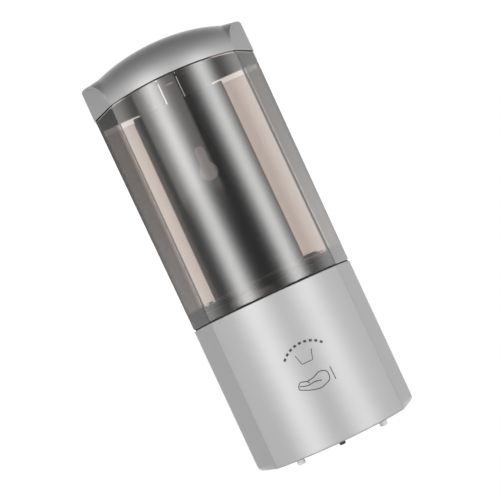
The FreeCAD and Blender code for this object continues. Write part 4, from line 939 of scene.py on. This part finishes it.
@dataclass
class Lid:
    """The crowned silver lid, between two upright cheeks."""

    wall: float = 2.2 * MM
    crown: float = field(init=False)
    shoulder: float = 20.2 * MM
    cheek: float = 20.0 * MM
    cheek_thick: float = 1.5 * MM
    roll_middle: float = 26.0 * MM
    roll_side: float = 20.5 * MM
    back_round: float = 5.0 * MM
    rear_step: float = 245.5 * MM
    rear_step_depth: float = -16.0 * MM
    stations: int = 97
    lip_half: float = 27.0 * MM
    lip_depths: tuple[float, float, float] = (-5.1 * MM, -2.9 * MM, -1.2 * MM)
    lip_heights: tuple[float, float, float] = (241.0 * MM, 245.6 * MM, 250.5 * MM)
    lug_gap: float = 7.0 * MM

    def __post_init__(self) -> None:
        """Take the lid's limits from the frame."""
        low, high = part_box("lid_shell")
        self.seat = low.z
        self.crown = high.z - low.z
        self.half = high.x
        self.back = high.y

    def facet_at(self, x: float) -> float:
        """Where the facet's plane is along Y at a distance from the middle."""
        over = (abs(x) - OUTLINE.crease_half) / (self.half - OUTLINE.crease_half)
        return -OUTLINE.crease_depth + over * (OUTLINE.crease_depth - OUTLINE.side_depth)

    def rise_at(self, x: float, inset: float) -> float:
        """The crown's height above the seat, highest in the middle and flaring out at the sides."""
        share = min(abs(x) / self.half, 1.0)
        arch = self.crown - (self.crown - self.shoulder) * share ** 2.0
        return arch - inset

    def profile(self, x: float, inset: float) -> list[tuple[float, float]]:
        """The lid's section at one distance from the middle, from the front's foot to the back's foot.

        Args:
            x: the distance from the middle.
            inset: how far the section is moved in.

        Returns:
            Points along Y and Z.
        """
        reach = min(abs(x), OUTLINE.crease_half)
        front = OUTLINE.front_at(reach) + 0.0
        share = min((x / self.half) ** 2, 1.0)
        roll = self.roll_middle - (self.roll_middle - self.roll_side) * share
        centre, depth = front + roll, roll - inset
        rise = self.rise_at(x, inset)
        slope = (OUTLINE.crease_depth - OUTLINE.side_depth) / (self.half - OUTLINE.crease_half)
        plane = self.facet_at(x) + inset * math.hypot(1, slope) + (0.25 * MM if abs(x) > OUTLINE.crease_half else 0)
        foot = max(min(1.0, (centre - plane) / depth), -1.0) if abs(x) > OUTLINE.crease_half else 1.0
        split = max(math.acos(foot), math.radians(2.0))
        points = []
        for step in range(5):
            angle = split * step / 5
            points.append(angle)
        for step in range(25):
            points.append(split + (math.pi / 2 - split) * step / 24)
        line = []
        for angle in points:
            y = centre - depth * math.cos(angle)
            if abs(x) > OUTLINE.crease_half:
                y = max(y, plane)
            line.append((y, self.seat + rise * math.sin(angle)))
        back = self.back - inset
        corner = self.back_round - inset
        top = self.seat + rise
        start = line[-1][0]
        end = back - corner
        for step in range(1, 7):
            line.append((start + (end - start) * step / 6, top))
        for step in range(1, 7):
            angle = math.pi / 2 * step / 6
            line.append((end + corner * math.sin(angle), top - corner * (1 - math.cos(angle))))
        line.append((back, self.seat))
        return line

    def build_crown(self) -> Item:
        """The crown: an outer and an inner skin joined at their feet and ends."""
        work = bmesh.new()
        edge = self.half - 0.35 * MM
        outer_x = [edge * (2 * index / (self.stations - 1) - 1) for index in range(self.stations)]
        grids = []
        for inset, width in ((0.0, 1.0), (self.wall, (edge - self.wall) / edge)):
            grids.append([[work.verts.new((x * width, y, z)) for y, z in self.profile(x * width, inset)]
                          for x in outer_x])
        rows, columns = len(grids[0]), len(grids[0][0])
        for grid in grids:
            for row in range(rows - 1):
                for column in range(columns - 1):
                    work.faces.new((grid[row][column], grid[row][column + 1], grid[row + 1][column + 1],
                                    grid[row + 1][column]))
        outer, inner = grids
        for row in range(rows - 1):
            for column in (0, columns - 1):
                work.faces.new((outer[row][column], outer[row + 1][column], inner[row + 1][column],
                                inner[row][column]))
        for row in (0, rows - 1):
            for column in range(columns - 1):
                work.faces.new((outer[row][column], outer[row][column + 1], inner[row][column + 1],
                                inner[row][column]))
        return finish_mesh("lid_crown", work, SILVER, 38)

    def cheek_path(self) -> list[tuple[float, float, float]]:
        """The right cheek's outer line from above, as (x, y, height above the seat)."""
        path = []
        for step in range(25):
            share = 1 - math.cos(math.pi / 2 * step / 24)
            x = OUTLINE.crease_half + (self.half - OUTLINE.crease_half) * share
            height = self.cheek * math.sqrt(max(1 - (1 - share) ** 2, 0.0))
            path.append((x, self.facet_at(x), max(height, 0.15 * MM)))
        corner = path[-1]
        rear = self.back - self.back_round
        for step in range(1, 9):
            path.append((corner[0], corner[1] + (rear - corner[1]) * step / 8, self.cheek))
        for step in range(1, 7):
            angle = math.pi / 2 * step / 6
            path.append((corner[0], rear + self.back_round * math.sin(angle),
                         self.cheek - self.back_round * (1 - math.cos(angle))))
        return path

    def build_cheek(self, side: int) -> Item:
        """One cheek: a thin upright plate with a rounded upper rim.

        Args:
            side: 1 for the right, -1 for the left.

        Returns:
            The cheek.
        """
        path = self.cheek_path()
        work = bmesh.new()
        rings = []
        thick = self.cheek_thick
        for index, (x, y, height) in enumerate(path):
            before = Vector(path[max(index - 1, 0)][:2])
            after = Vector(path[min(index + 1, len(path) - 1)][:2])
            along = (after - before).normalized() if (after - before).length > 1e-9 else Vector((0, 1))
            if index <= 23:
                along = Vector((self.half - OUTLINE.crease_half,
                                OUTLINE.crease_depth - OUTLINE.side_depth)).normalized()
            if index == 24:
                along = Vector((0.36, 0.93)).normalized()
            inward = Vector((-along.y, along.x))
            foot = self.seat
            if y > self.rear_step_depth:
                foot = self.rear_step
            top = self.seat + height
            ring = []
            rim = min(thick / 2, height / 2)
            section = [(0.0, foot), (0.0, top - rim)]
            for step in range(1, 6):
                angle = math.pi * step / 6
                section.append((thick / 2 * (1 - math.cos(angle)), top - rim + rim * math.sin(angle)))
            section += [(thick, top - rim), (thick, foot)]
            for offset, z in section:
                spot = Vector((x, y)) + inward * offset
                ring.append(work.verts.new((side * spot.x, spot.y, max(z, foot))))
            rings.append(ring)
        count = len(rings[0])
        for near, far in zip(rings, rings[1:]):
            for index in range(count):
                following = (index + 1) % count
                work.faces.new((near[index], near[following], far[following], far[index]))
        work.faces.new(rings[0])
        work.faces.new(rings[-1])
        name = "lid_cheek_right" if side > 0 else "lid_cheek_left"
        return finish_mesh(name, work, SILVER, 32)

    def build(self) -> None:
        """Build the crown and both cheeks, with room for the hinge behind."""
        crown = self.build_crown()
        hinge = next(j for j in frame["joints"] if j["name"] == "lid_hinge")
        axis_y, axis_z = hinge["pos_m"][1:]
        lug = self.lug_gap
        cut_away(crown, [
            box_tool((-0.1, self.rear_step_depth, self.seat - 5 * MM), (0.1, 0.02, self.rear_step)),
            box_tool((-lug, axis_y, self.seat - 5 * MM), (lug, 0.02, axis_z + 3.6 * MM)),
        ])
        crown.data.set_sharp_from_angle(angle=math.radians(38))
        settle(crown, "lid", "silver_shell", "lid_shell")
        for side in (-1, 1):
            settle(self.build_cheek(side), "lid", "silver_shell")
        self.build_knuckles(axis_y, axis_z)

    def build_knuckles(self, axis_y: float, axis_z: float) -> None:
        """The two hinge knuckles under the lid's back edge, as turned rings on webs."""
        work = bmesh.new()
        for side in (-1, 1):
            low, high = 7.0 * MM, 13.2 * MM
            loops = []
            for x, radius in ((low, 1.31 * MM), (low, 2.8 * MM), (low + 0.3 * MM, 3.1 * MM),
                              (high - 0.3 * MM, 3.1 * MM), (high, 2.8 * MM), (high, 1.31 * MM)):
                loops.append([Vector((side * x, axis_y + radius * math.cos(2 * math.pi * index / 40),
                                      axis_z + radius * math.sin(2 * math.pi * index / 40))) for index in range(40)])
            loops.append([point.copy() for point in loops[0]])
            stack(work, loops, False, False)
            web = [(axis_y - 2.2 * MM, axis_z + 2.4 * MM), (axis_y + 2.9 * MM, axis_z + 1.2 * MM),
                   (axis_y + 2.9 * MM, axis_z + 4.2 * MM), (axis_y - 4.4 * MM, axis_z + 4.4 * MM)]
            stack(work, [[Vector((side * x, y, z)) for y, z in web] for x in (low, high)])
        settle(finish_mesh("lid_knuckles", work, SILVER, 35), "lid", "silver_shell")
        self.build_lip()

    def build_lip(self) -> None:
        """The lip that hangs from the lid's back, inside the top of the spine and on both sides of its lug."""
        front, rear, web = self.lip_depths
        low, step, high = self.lip_heights
        section = [(front, low), (rear, low), (rear, step), (web, step), (web, high), (front, high)]
        work = bmesh.new()
        for side in (-1, 1):
            stack(work, [[Vector((side * x, y, z)) for y, z in section] for x in (self.lug_gap, self.lip_half)])
        settle(finish_mesh("lid_lip", work, SILVER, 35), "lid", "silver_shell")


# ------------------------------------------------------------------ pieces made by geometry nodes

class NodeMaker:
    """A short way to write a geometry node tree."""

    def __init__(self, name: str, inputs: dict[str, float | int]) -> None:
        """Start a tree with a geometry input and the named numbers."""
        self.tree = bpy.data.node_groups.new(name, "GeometryNodeTree")
        self.tree.interface.new_socket("Geometry", in_out="INPUT", socket_type="NodeSocketGeometry")
        for label, value in inputs.items():
            kind = "NodeSocketInt" if isinstance(value, int) else "NodeSocketFloat"
            socket = self.tree.interface.new_socket(label, in_out="INPUT", socket_type=kind)
            socket.default_value = value
        self.tree.interface.new_socket("Geometry", in_out="OUTPUT", socket_type="NodeSocketGeometry")
        self.inlet = self.tree.nodes.new("NodeGroupInput")
        self.outlet = self.tree.nodes.new("NodeGroupOutput")

    def add(self, kind: str, settings: dict[str, object] | None = None, **inputs: object) -> bpy.types.Node:
        """Add a node, set its properties, and set or link its inputs by name."""
        node = self.tree.nodes.new(kind)
        for label, value in (settings or {}).items():
            setattr(node, label, value)
        for label, value in inputs.items():
            self.feed(node, label.replace("_", " "), value)
        return node

    def feed(self, node: bpy.types.Node, label: str | int, value: object) -> None:
        """Set or link one input of a node."""
        if isinstance(value, Socket):
            self.tree.links.new(value, node.inputs[label])
        else:
            node.inputs[label].default_value = value

    def calc(self, operation: str, first: object, second: object) -> Socket:
        """A number worked out from two others."""
        node = self.add("ShaderNodeMath", {"operation": operation})
        self.feed(node, 0, first)
        self.feed(node, 1, second)
        return node.outputs[0]

    def value(self, label: str) -> Socket:
        """One of the tree's own inputs."""
        return self.inlet.outputs[label]

    def point(self, x: object, y: object, z: object) -> Socket:
        """A vector from three numbers."""
        node = self.add("ShaderNodeCombineXYZ")
        for index, value in enumerate((x, y, z)):
            self.feed(node, index, value)
        return node.outputs[0]

    def lift(self, geometry: Socket, height: object) -> Socket:
        """Geometry moved up."""
        return self.add("GeometryNodeTransform", Geometry=geometry,
                        Translation=self.point(0.0, 0.0, height)).outputs[0]

    def cone(self, low_radius: object, high_radius: object, low: object, high: object,
             sides: int = 32) -> Socket:
        """A closed cone frustum or cylinder on the upright axis, between two heights."""
        node = self.add("GeometryNodeMeshCone", Vertices=sides, Radius_Top=high_radius, Radius_Bottom=low_radius,
                        Depth=self.calc("SUBTRACT", high, low))
        return self.lift(node.outputs["Mesh"], low)

    def block(self, x: object, y: object, z: object) -> Socket:
        """A box about the origin."""
        return self.add("GeometryNodeMeshCube", Size=self.point(x, y, z)).outputs["Mesh"]

    def coil(self, radius: object, wire: object, height: object, turns: object, sides: int) -> Socket:
        """A wire wound about the upright axis, from height 0 up."""
        path = self.add("GeometryNodeCurveSpiral", Resolution=28, Rotations=turns, Start_Radius=radius,
                        End_Radius=radius, Height=height)
        section = self.add("GeometryNodeCurvePrimitiveCircle", Resolution=sides, Radius=wire)
        return self.add("GeometryNodeCurveToMesh", Curve=path.outputs[0], Profile_Curve=section.outputs[0],
                        Fill_Caps=True).outputs[0]

    def join(self, *parts: Socket) -> Socket:
        """Several geometries as one."""
        node = self.add("GeometryNodeJoinGeometry")
        for part in parts:
            self.tree.links.new(part, node.inputs[0])
        return node.outputs[0]

    def solid(self, operation: str, first: Socket, *others: Socket) -> Socket:
        """A solid join or cut of closed meshes."""
        node = self.add("GeometryNodeMeshBoolean", {"operation": operation, "solver": "EXACT"})
        self.tree.links.new(first, node.inputs[0 if operation == "DIFFERENCE" else 1])
        for other in others:
            self.tree.links.new(other, node.inputs[1])
        return node.outputs[0]

    def scatter(self, part: Socket) -> Socket:
        """The part on each point, turned about its own axis by the seed."""
        turn = self.add("FunctionNodeRandomValue", {"data_type": "FLOAT_VECTOR"}, Seed=self.value("Seed"))
        turn.inputs[0].default_value = (0.0, 0.0, 0.0)
        turn.inputs[1].default_value = (0.0, 0.0, 2 * math.pi)
        return self.add("GeometryNodeInstanceOnPoints", Points=self.value("Geometry"), Instance=part,
                        Rotation=turn.outputs[0]).outputs[0]

    def close(self, geometry: Socket, finish: Finish) -> Tree:
        """End the tree: instances made real, and the finish set."""
        real = self.add("GeometryNodeRealizeInstances", Geometry=geometry)
        dressed = self.add("GeometryNodeSetMaterial", Geometry=real.outputs[0])
        dressed.inputs["Material"].default_value = finish.build()
        self.tree.links.new(dressed.outputs[0], self.outlet.inputs[0])
        return self.tree


def grow(name: str, tree: Tree, values: dict[str, float | int], spots: Sequence[Vector],
         turn: Matrix | None = None, smooth_angle: float = 35.0) -> Item:
    """Run a geometry node tree on points and keep the result as a plain mesh.

    Args:
        name: the new piece's name.
        tree: the node tree.
        values: the modifier's inputs by name.
        spots: the points that the tree reads, as loose vertices.
        turn: turns the result about the origin before it is moved, if given.
        smooth_angle: edges sharper than this stay sharp, in degrees.

    Returns:
        The piece.
    """
    mesh = bpy.data.meshes.new(name)
    mesh.from_pydata([tuple(spot) for spot in spots], [], [])
    item = bpy.data.objects.new(name, mesh)
    modifier = item.modifiers.new("maker", "NODES")
    modifier.node_group = tree
    for socket in tree.interface.items_tree:
        if socket.in_out == "INPUT" and socket.name in values:
            modifier[socket.identifier] = values[socket.name]
    bpy.context.scene.collection.objects.link(item)
    apply_modifiers(item)
    if turn is not None:
        item.data.transform(turn)
    item.data.shade_smooth()
    item.data.set_sharp_from_angle(angle=math.radians(smooth_angle))
    return item


@dataclass(frozen=True)
class ScrewSet:
    """A set of like screws, from the CAD node that holds them."""

    node: str
    facing: tuple[float, float, float]
    shank_radius: float
    head_height: float

    def build(self, tree: Tree) -> None:
        """Put a screw at each place of the set.

        Args:
            tree: the screw tree.
        """
        turn = Vector(self.facing).to_track_quat("Z", "Y").to_matrix().to_4x4()
        back = turn.inverted()
        spots, radius, length = [], 0.0, 0.0
        for low, high in islands(self.node):
            first, second = back @ low, back @ high
            radius = abs(second.x - first.x) / 2
            length = abs(second.z - first.z)
            spots.append(Vector(((first.x + second.x) / 2, (first.y + second.y) / 2, max(first.z, second.z))))
        values = {"Head Radius": radius, "Head Height": self.head_height, "Shank Radius": self.shank_radius,
                  "Length": length - self.head_height, "Seed": 7}
        settle(grow(f"{self.node}_made", tree, values, spots, turn), "casing", "steel", self.node)


SCREW_SETS: tuple[ScrewSet, ...] = (
    ScrewSet("cover_screws", (0, 1, 0), 1.5 * MM, 1.9 * MM),
    ScrewSet("tank_screws", (0, 0, -1), 1.5 * MM, 1.9 * MM),
    ScrewSet("deck_screws", (0, 0, 1), 1.5 * MM, 1.9 * MM),
    ScrewSet("board_screws", (1, 0, 0), 1.25 * MM, 1.4 * MM),
    ScrewSet("pump_screws", (0, 0, 1), 1.25 * MM, 1.5 * MM),
    ScrewSet("bracket_screws", (0, 0, 1), 1.5 * MM, 1.9 * MM),
    ScrewSet("motor_screws", (0, 0, -1), 1.0 * MM, 1.2 * MM),
)


def islands(name: str) -> list[tuple[Vector, Vector]]:
    """Find the loose parts of a CAD node.

    Args:
        name: the node.

    Returns:
        The low and high corner of each part, in a fixed order.
    """
    node = frame["nodes"][name]
    work = bmesh.new()
    work.from_mesh(node.data)
    work.transform(node.matrix_world)
    bmesh.ops.remove_doubles(work, verts=work.verts, dist=1e-7)
    left = set(work.verts)
    boxes = []
    while left:
        queue = [left.pop()]
        spots = []
        while queue:
            vert = queue.pop()
            spots.append(vert.co.copy())
            fresh = {edge.other_vert(vert) for edge in vert.link_edges} & left
            left -= fresh
            queue.extend(fresh)
        boxes.append((Vector([min(spot[i] for spot in spots) for i in range(3)]),
                      Vector([max(spot[i] for spot in spots) for i in range(3)])))
    work.free()
    return sorted(boxes, key=lambda box: tuple(box[0]))


def screw_tree() -> Tree:
    """A screw with a chamfered cross-slot head, its outer face at height 0, and a threaded shank below."""
    maker = NodeMaker("screw", {"Head Radius": 2.8 * MM, "Head Height": 1.9 * MM, "Shank Radius": 1.5 * MM,
                                "Length": 14 * MM, "Seed": 7})
    head, rise = maker.value("Head Radius"), maker.value("Head Height")
    shank, length = maker.value("Shank Radius"), maker.value("Length")
    under = maker.calc("MULTIPLY", rise, -1.0)
    edge = maker.calc("MULTIPLY", rise, -0.38)
    crown = maker.cone(head, maker.calc("MULTIPLY", head, 0.74), edge, 0.0, 40)
    rim = maker.cone(head, head, under, edge, 40)
    arm, width = maker.calc("MULTIPLY", head, 1.15), maker.calc("MULTIPLY", head, 0.24)
    deep = maker.calc("MULTIPLY", rise, 1.1)
    slots = (maker.block(arm, width, deep), maker.block(width, arm, deep))
    top = maker.solid("DIFFERENCE", maker.solid("UNION", rim, crown), maker.solid("UNION", *slots))
    core = maker.calc("MULTIPLY", shank, 0.80)
    tip = maker.calc("SUBTRACT", under, length)
    taper = maker.calc("MULTIPLY_ADD", length, 0.08)
    maker.feed(taper.node, 2, tip)
    rod = maker.cone(core, core, taper, maker.calc("ADD", under, maker.calc("MULTIPLY", rise, 0.1)), 20)
    point = maker.cone(maker.calc("MULTIPLY", shank, 0.35), core, tip, taper, 20)
    body = maker.solid("UNION", rod, point)
    run = maker.calc("MULTIPLY", length, 0.84)
    turns = maker.calc("DIVIDE", run, maker.calc("MULTIPLY", shank, 0.55))
    thread = maker.coil(maker.calc("MULTIPLY", shank, 0.86), maker.calc("MULTIPLY", shank, 0.14), run, turns, 4)
    thread = maker.lift(thread, maker.calc("ADD", tip, maker.calc("MULTIPLY", length, 0.09)))
    return maker.close(maker.scatter(maker.join(top, body, thread)), STEEL)


def build_feet() -> None:
    """The soft feet, each with its stem up into the base."""
    maker = NodeMaker("foot", {"Radius": 2.5 * MM, "Drop": 3.6 * MM, "Stem Radius": 1.5 * MM,
                              "Stem": 3.2 * MM, "Seed": 3})
    radius = maker.value("Radius")
    low = maker.calc("MULTIPLY", maker.value("Drop"), -1.0)
    heel = maker.calc("MULTIPLY", maker.value("Drop"), -0.82)
    parts = (maker.cone(maker.calc("MULTIPLY", radius, 0.80), radius, low, heel),
             maker.cone(radius, radius, heel, 0.0),
             maker.cone(maker.value("Stem Radius"), maker.value("Stem Radius"), -0.2 * MM, maker.value("Stem")))
    tree = maker.close(maker.scatter(maker.solid("UNION", *parts)), FOOT)
    boxes = islands("feet")
    spots = [Vector(((low.x + high.x) / 2, (low.y + high.y) / 2, 0)) for low, high in boxes]
    values = {"Radius": (boxes[0][1].x - boxes[0][0].x) / 2, "Drop": -boxes[0][0].z, "Stem": boxes[0][1].z, "Seed": 3}
    settle(grow("feet_made", tree, values, spots), "casing", "clear_rubber", "feet")


def build_springs() -> None:
    """The coil spring above each cell."""
    maker = NodeMaker("cell_spring", {"Radius": 3.2 * MM, "Wire": 0.25 * MM, "Height": 4 * MM,
                                      "Turns": 3.08, "Seed": 5})
    coil = maker.coil(maker.value("Radius"), maker.value("Wire"), maker.value("Height"), maker.value("Turns"), 10)
    tree = maker.close(maker.scatter(coil), SPRING)
    boxes = islands("battery_springs")
    wire = 0.25 * MM
    spots = [Vector(((low.x + high.x) / 2, (low.y + high.y) / 2, low.z + wire)) for low, high in boxes]
    values = {"Radius": (boxes[0][1].x - boxes[0][0].x) / 2 - wire, "Wire": wire * 0.98,
              "Height": boxes[0][1].z - boxes[0][0].z - 2 * wire, "Turns": 3.08, "Seed": 5}
    settle(grow("battery_springs_made", tree, values, spots, smooth_angle=60), "casing", "spring_steel",
           "battery_springs")


def build_strainer() -> None:
    """The slotted basket over the tank's outlet."""
    maker = NodeMaker("strainer", {"Flange Radius": 6.8 * MM, "Height": 6.2 * MM, "Slots": 12, "Seed": 2})
    flange, height = maker.value("Flange Radius"), maker.value("Height")
    waist = maker.calc("MULTIPLY", flange, 0.91)
    shoulder = maker.calc("MULTIPLY", flange, 0.82)
    top = maker.calc("MULTIPLY", flange, 0.60)
    rim, neck = maker.calc("MULTIPLY", height, 0.145), maker.calc("MULTIPLY", height, 0.742)
    outer = maker.solid("UNION", maker.cone(flange, flange, 0.0, rim), maker.cone(waist, shoulder, rim, neck),
                        maker.cone(shoulder, top, neck, height))
    inner = maker.cone(maker.calc("MULTIPLY", flange, 0.76), maker.calc("MULTIPLY", flange, 0.68), -0.5 * MM,
                       maker.calc("MULTIPLY", height, 0.84))
    ring = maker.add("GeometryNodeMeshCircle", Vertices=maker.value("Slots"), Radius=shoulder)
    step = maker.calc("DIVIDE", 2 * math.pi, maker.value("Slots"))
    angle = maker.calc("MULTIPLY", maker.add("GeometryNodeInputIndex").outputs[0], step)
    slot = maker.block(maker.calc("MULTIPLY", flange, 0.6), maker.calc("MULTIPLY", flange, 0.15),
                       maker.calc("MULTIPLY", height, 0.46))
    ringed = maker.add("GeometryNodeInstanceOnPoints", Points=ring.outputs[0], Instance=slot,
                       Rotation=maker.point(0.0, 0.0, angle))
    slots = maker.lift(maker.add("GeometryNodeRealizeInstances", Geometry=ringed.outputs[0]).outputs[0],
                       maker.calc("MULTIPLY", height, 0.44))
    basket = maker.solid("DIFFERENCE", maker.solid("DIFFERENCE", outer, inner), slots)
    tree = maker.close(maker.scatter(basket), PUMP)
    low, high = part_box("outlet_strainer")
    spots = [Vector(((low[0] + high[0]) / 2, (low[1] + high[1]) / 2, low[2]))]
    values = {"Flange Radius": (high[0] - low[0]) / 2, "Height": high[2] - low[2], "Slots": 12, "Seed": 2}
    settle(grow("outlet_strainer_made", tree, values, spots), "casing", "pump_plastic", "outlet_strainer")


def build_repeated() -> None:
    """The screws, feet, springs and strainer."""
    tree = screw_tree()
    for screws in SCREW_SETS:
        screws.build(tree)
    build_feet()
    build_springs()
    build_strainer()


def build_main() -> None:
    """Build each sub-assembly in order and report it."""
    build_groups()
    for name, node in frame["nodes"].items():
        slot = next(part["material_slot"] for part in frame["record"]["subparts"] if part["node"] == name)
        dress_node(node, SLOT_FINISH[slot])
    BaseCover().build()
    Tank().build()
    Lid().build()
    build_repeated()
    Studio().build()


def dress_node(node: Item, finish: Finish) -> None:
    """Give a CAD node its finish."""
    node.data.materials.clear()
    node.data.materials.append(finish.build())


# ------------------------------------------------------------------ studio

@dataclass
class Studio:
    """The floor, the lights and the camera."""

    distance: float = 0.700
    azimuth: float = -3.35
    elevation: float = -4.25
    roll: float = -24.945
    focal: float = 79.7
    sensor: float = 36.0
    aim: tuple[float, float, float] = (0.0002, -0.0475, 0.1276)
    floor_height: float = -0.9
    ambient: float = 0.06
    bands: tuple[tuple[float, float, float], ...] = ((-27, 12, 4.2), (36, 12, 4.2), (-80, 18, 1.4), (84, 18, 1.4))
    ceiling: Point = (0.30, 0.75)
    ceiling_light: float = 0.12
    backdrop: float = 2.2
    backdrop_reach: Point = (0.36, 0.98)
    through_reach: Point = (0.55, 0.93)

    def build_floor(self) -> None:
        """A plain pale floor, well below the dispenser on its wall."""
        work = bmesh.new()
        bmesh.ops.create_grid(work, x_segments=2, y_segments=2, size=1.6)
        bmesh.ops.translate(work, vec=(0, 0, self.floor_height), verts=work.verts)
        floor = finish_mesh("floor", work, FLOOR)

    def build_light(self, name: str, angle: float, lift: float, reach: float, size: Point, power: float) -> None:
        """A rectangular soft light that faces the dispenser.

        Args:
            name: the light's name.
            angle: its bearing from straight in front, positive to the right, in degrees.
            lift: its elevation, in degrees.
            reach: its distance from the aim point.
            size: its width and height.
            power: its power in watts.
        """
        lamp = bpy.data.lights.new(name, "AREA")
        lamp.shape = "RECTANGLE"
        lamp.size, lamp.size_y = size
        lamp.energy = power
        item = bpy.data.objects.new(name, lamp)
        a, e = math.radians(angle), math.radians(lift)
        back = Vector((math.sin(a) * math.cos(e), -math.cos(a) * math.cos(e), math.sin(e)))
        item.location = Vector(self.aim) + back * reach
        item.rotation_euler = back.to_track_quat("Z", "Y").to_euler()
        bpy.context.scene.collection.objects.link(item)

    def build_world(self) -> None:
        """Soft upright bands of light in front and at the sides, a dark ceiling and a pale backdrop."""
        world = bpy.data.worlds.new("studio")
        bpy.context.scene.world = world
        world.use_nodes = True
        tree = world.node_tree
        tree.nodes.clear()
        out = tree.nodes.new("ShaderNodeOutputWorld")
        parts = tree.nodes.new("ShaderNodeSeparateXYZ")
        tree.links.new(tree.nodes.new("ShaderNodeTexCoord").outputs["Generated"], parts.inputs[0])
        x, y, z = parts.outputs
        ahead = math_node(tree, "MULTIPLY", y, -1.0)
        bearing = math_node(tree, "MULTIPLY", math_node(tree, "ARCTAN2", x, ahead), 180 / math.pi)
        total = self.ambient
        for centre, width, power in self.bands:
            offset = math_node(tree, "DIVIDE", math_node(tree, "SUBTRACT", bearing, centre), width)
            bell = math_node(tree, "EXPONENT", math_node(
                tree, "MULTIPLY", math_node(tree, "MULTIPLY", offset, offset), -1.0), None)
            total = math_node(tree, "ADD", math_node(tree, "MULTIPLY", bell, power), total)
        height = math_node(tree, "ABSOLUTE", z)
        total = math_node(tree, "MULTIPLY", total, self.smooth(tree, height, self.ceiling[1], self.ceiling[0]))
        behind = math_node(tree, "MULTIPLY", self.smooth(tree, y, *self.backdrop_reach), self.backdrop)
        total = math_node(tree, "ADD", math_node(tree, "ADD", total, behind), self.ceiling_light)
        lit = tree.nodes.new("ShaderNodeBackground")
        tree.links.new(total, lit.inputs["Strength"])
        lit.inputs["Color"].default_value = (1.0, 0.995, 0.99, 1)
        through = tree.nodes.new("ShaderNodeBackground")
        through.inputs["Color"].default_value = (1, 1, 1, 1)
        tree.links.new(self.smooth(tree, y, *self.through_reach), through.inputs["Strength"])
        seen = tree.nodes.new("ShaderNodeBackground")
        seen.inputs["Color"].default_value = (1, 1, 1, 1)
        path = tree.nodes.new("ShaderNodeLightPath")
        mix = tree.nodes.new("ShaderNodeMixShader")
        tree.links.new(path.outputs["Is Transmission Ray"], mix.inputs[0])
        tree.links.new(lit.outputs[0], mix.inputs[1])
        tree.links.new(through.outputs[0], mix.inputs[2])
        last = tree.nodes.new("ShaderNodeMixShader")
        tree.links.new(path.outputs["Is Camera Ray"], last.inputs[0])
        tree.links.new(mix.outputs[0], last.inputs[1])
        tree.links.new(seen.outputs[0], last.inputs[2])
        tree.links.new(last.outputs[0], out.inputs[0])

    def smooth(self, tree: Tree, value: Socket, start: float,
               end: float) -> Socket:
        """A smooth step from 0 at the start to 1 at the end."""
        node = tree.nodes.new("ShaderNodeMapRange")
        node.interpolation_type = "SMOOTHSTEP"
        flip = start > end
        tree.links.new(value, node.inputs["Value"])
        node.inputs["From Min"].default_value = min(start, end)
        node.inputs["From Max"].default_value = max(start, end)
        node.inputs["To Min"].default_value = 1.0 if flip else 0.0
        node.inputs["To Max"].default_value = 0.0 if flip else 1.0
        return node.outputs[0]

    def build_camera(self) -> None:
        """A camera a little below the middle, rolled so that the dispenser leans to the left."""
        data = bpy.data.cameras.new("camera")
        data.lens = self.focal
        data.sensor_width = self.sensor
        data.clip_start, data.clip_end = 0.01, 20.0
        camera = bpy.data.objects.new("camera", data)
        a, e = math.radians(self.azimuth), math.radians(self.elevation)
        back = Vector((math.sin(a) * math.cos(e), -math.cos(a) * math.cos(e), math.sin(e)))
        camera.location = Vector(self.aim) + back * self.distance
        level = (-back).to_track_quat("-Z", "Y").to_matrix().to_4x4()
        tilt = Matrix.Rotation(math.radians(self.roll), 4, "Z")
        camera.rotation_euler = (level @ tilt).to_euler()
        bpy.context.scene.collection.objects.link(camera)
        bpy.context.scene.camera = camera

    def build(self) -> None:
        """Build the studio."""
        self.build_floor()
        self.build_world()
        self.build_light("key", -24, 30, 1.6, (1.6, 1.2), 3)
        self.build_camera()
        bpy.context.scene.view_settings.view_transform = "Standard"


def main() -> None:
    """Build the dispenser."""
    build_main()


if __name__ == "__main__":
    main()
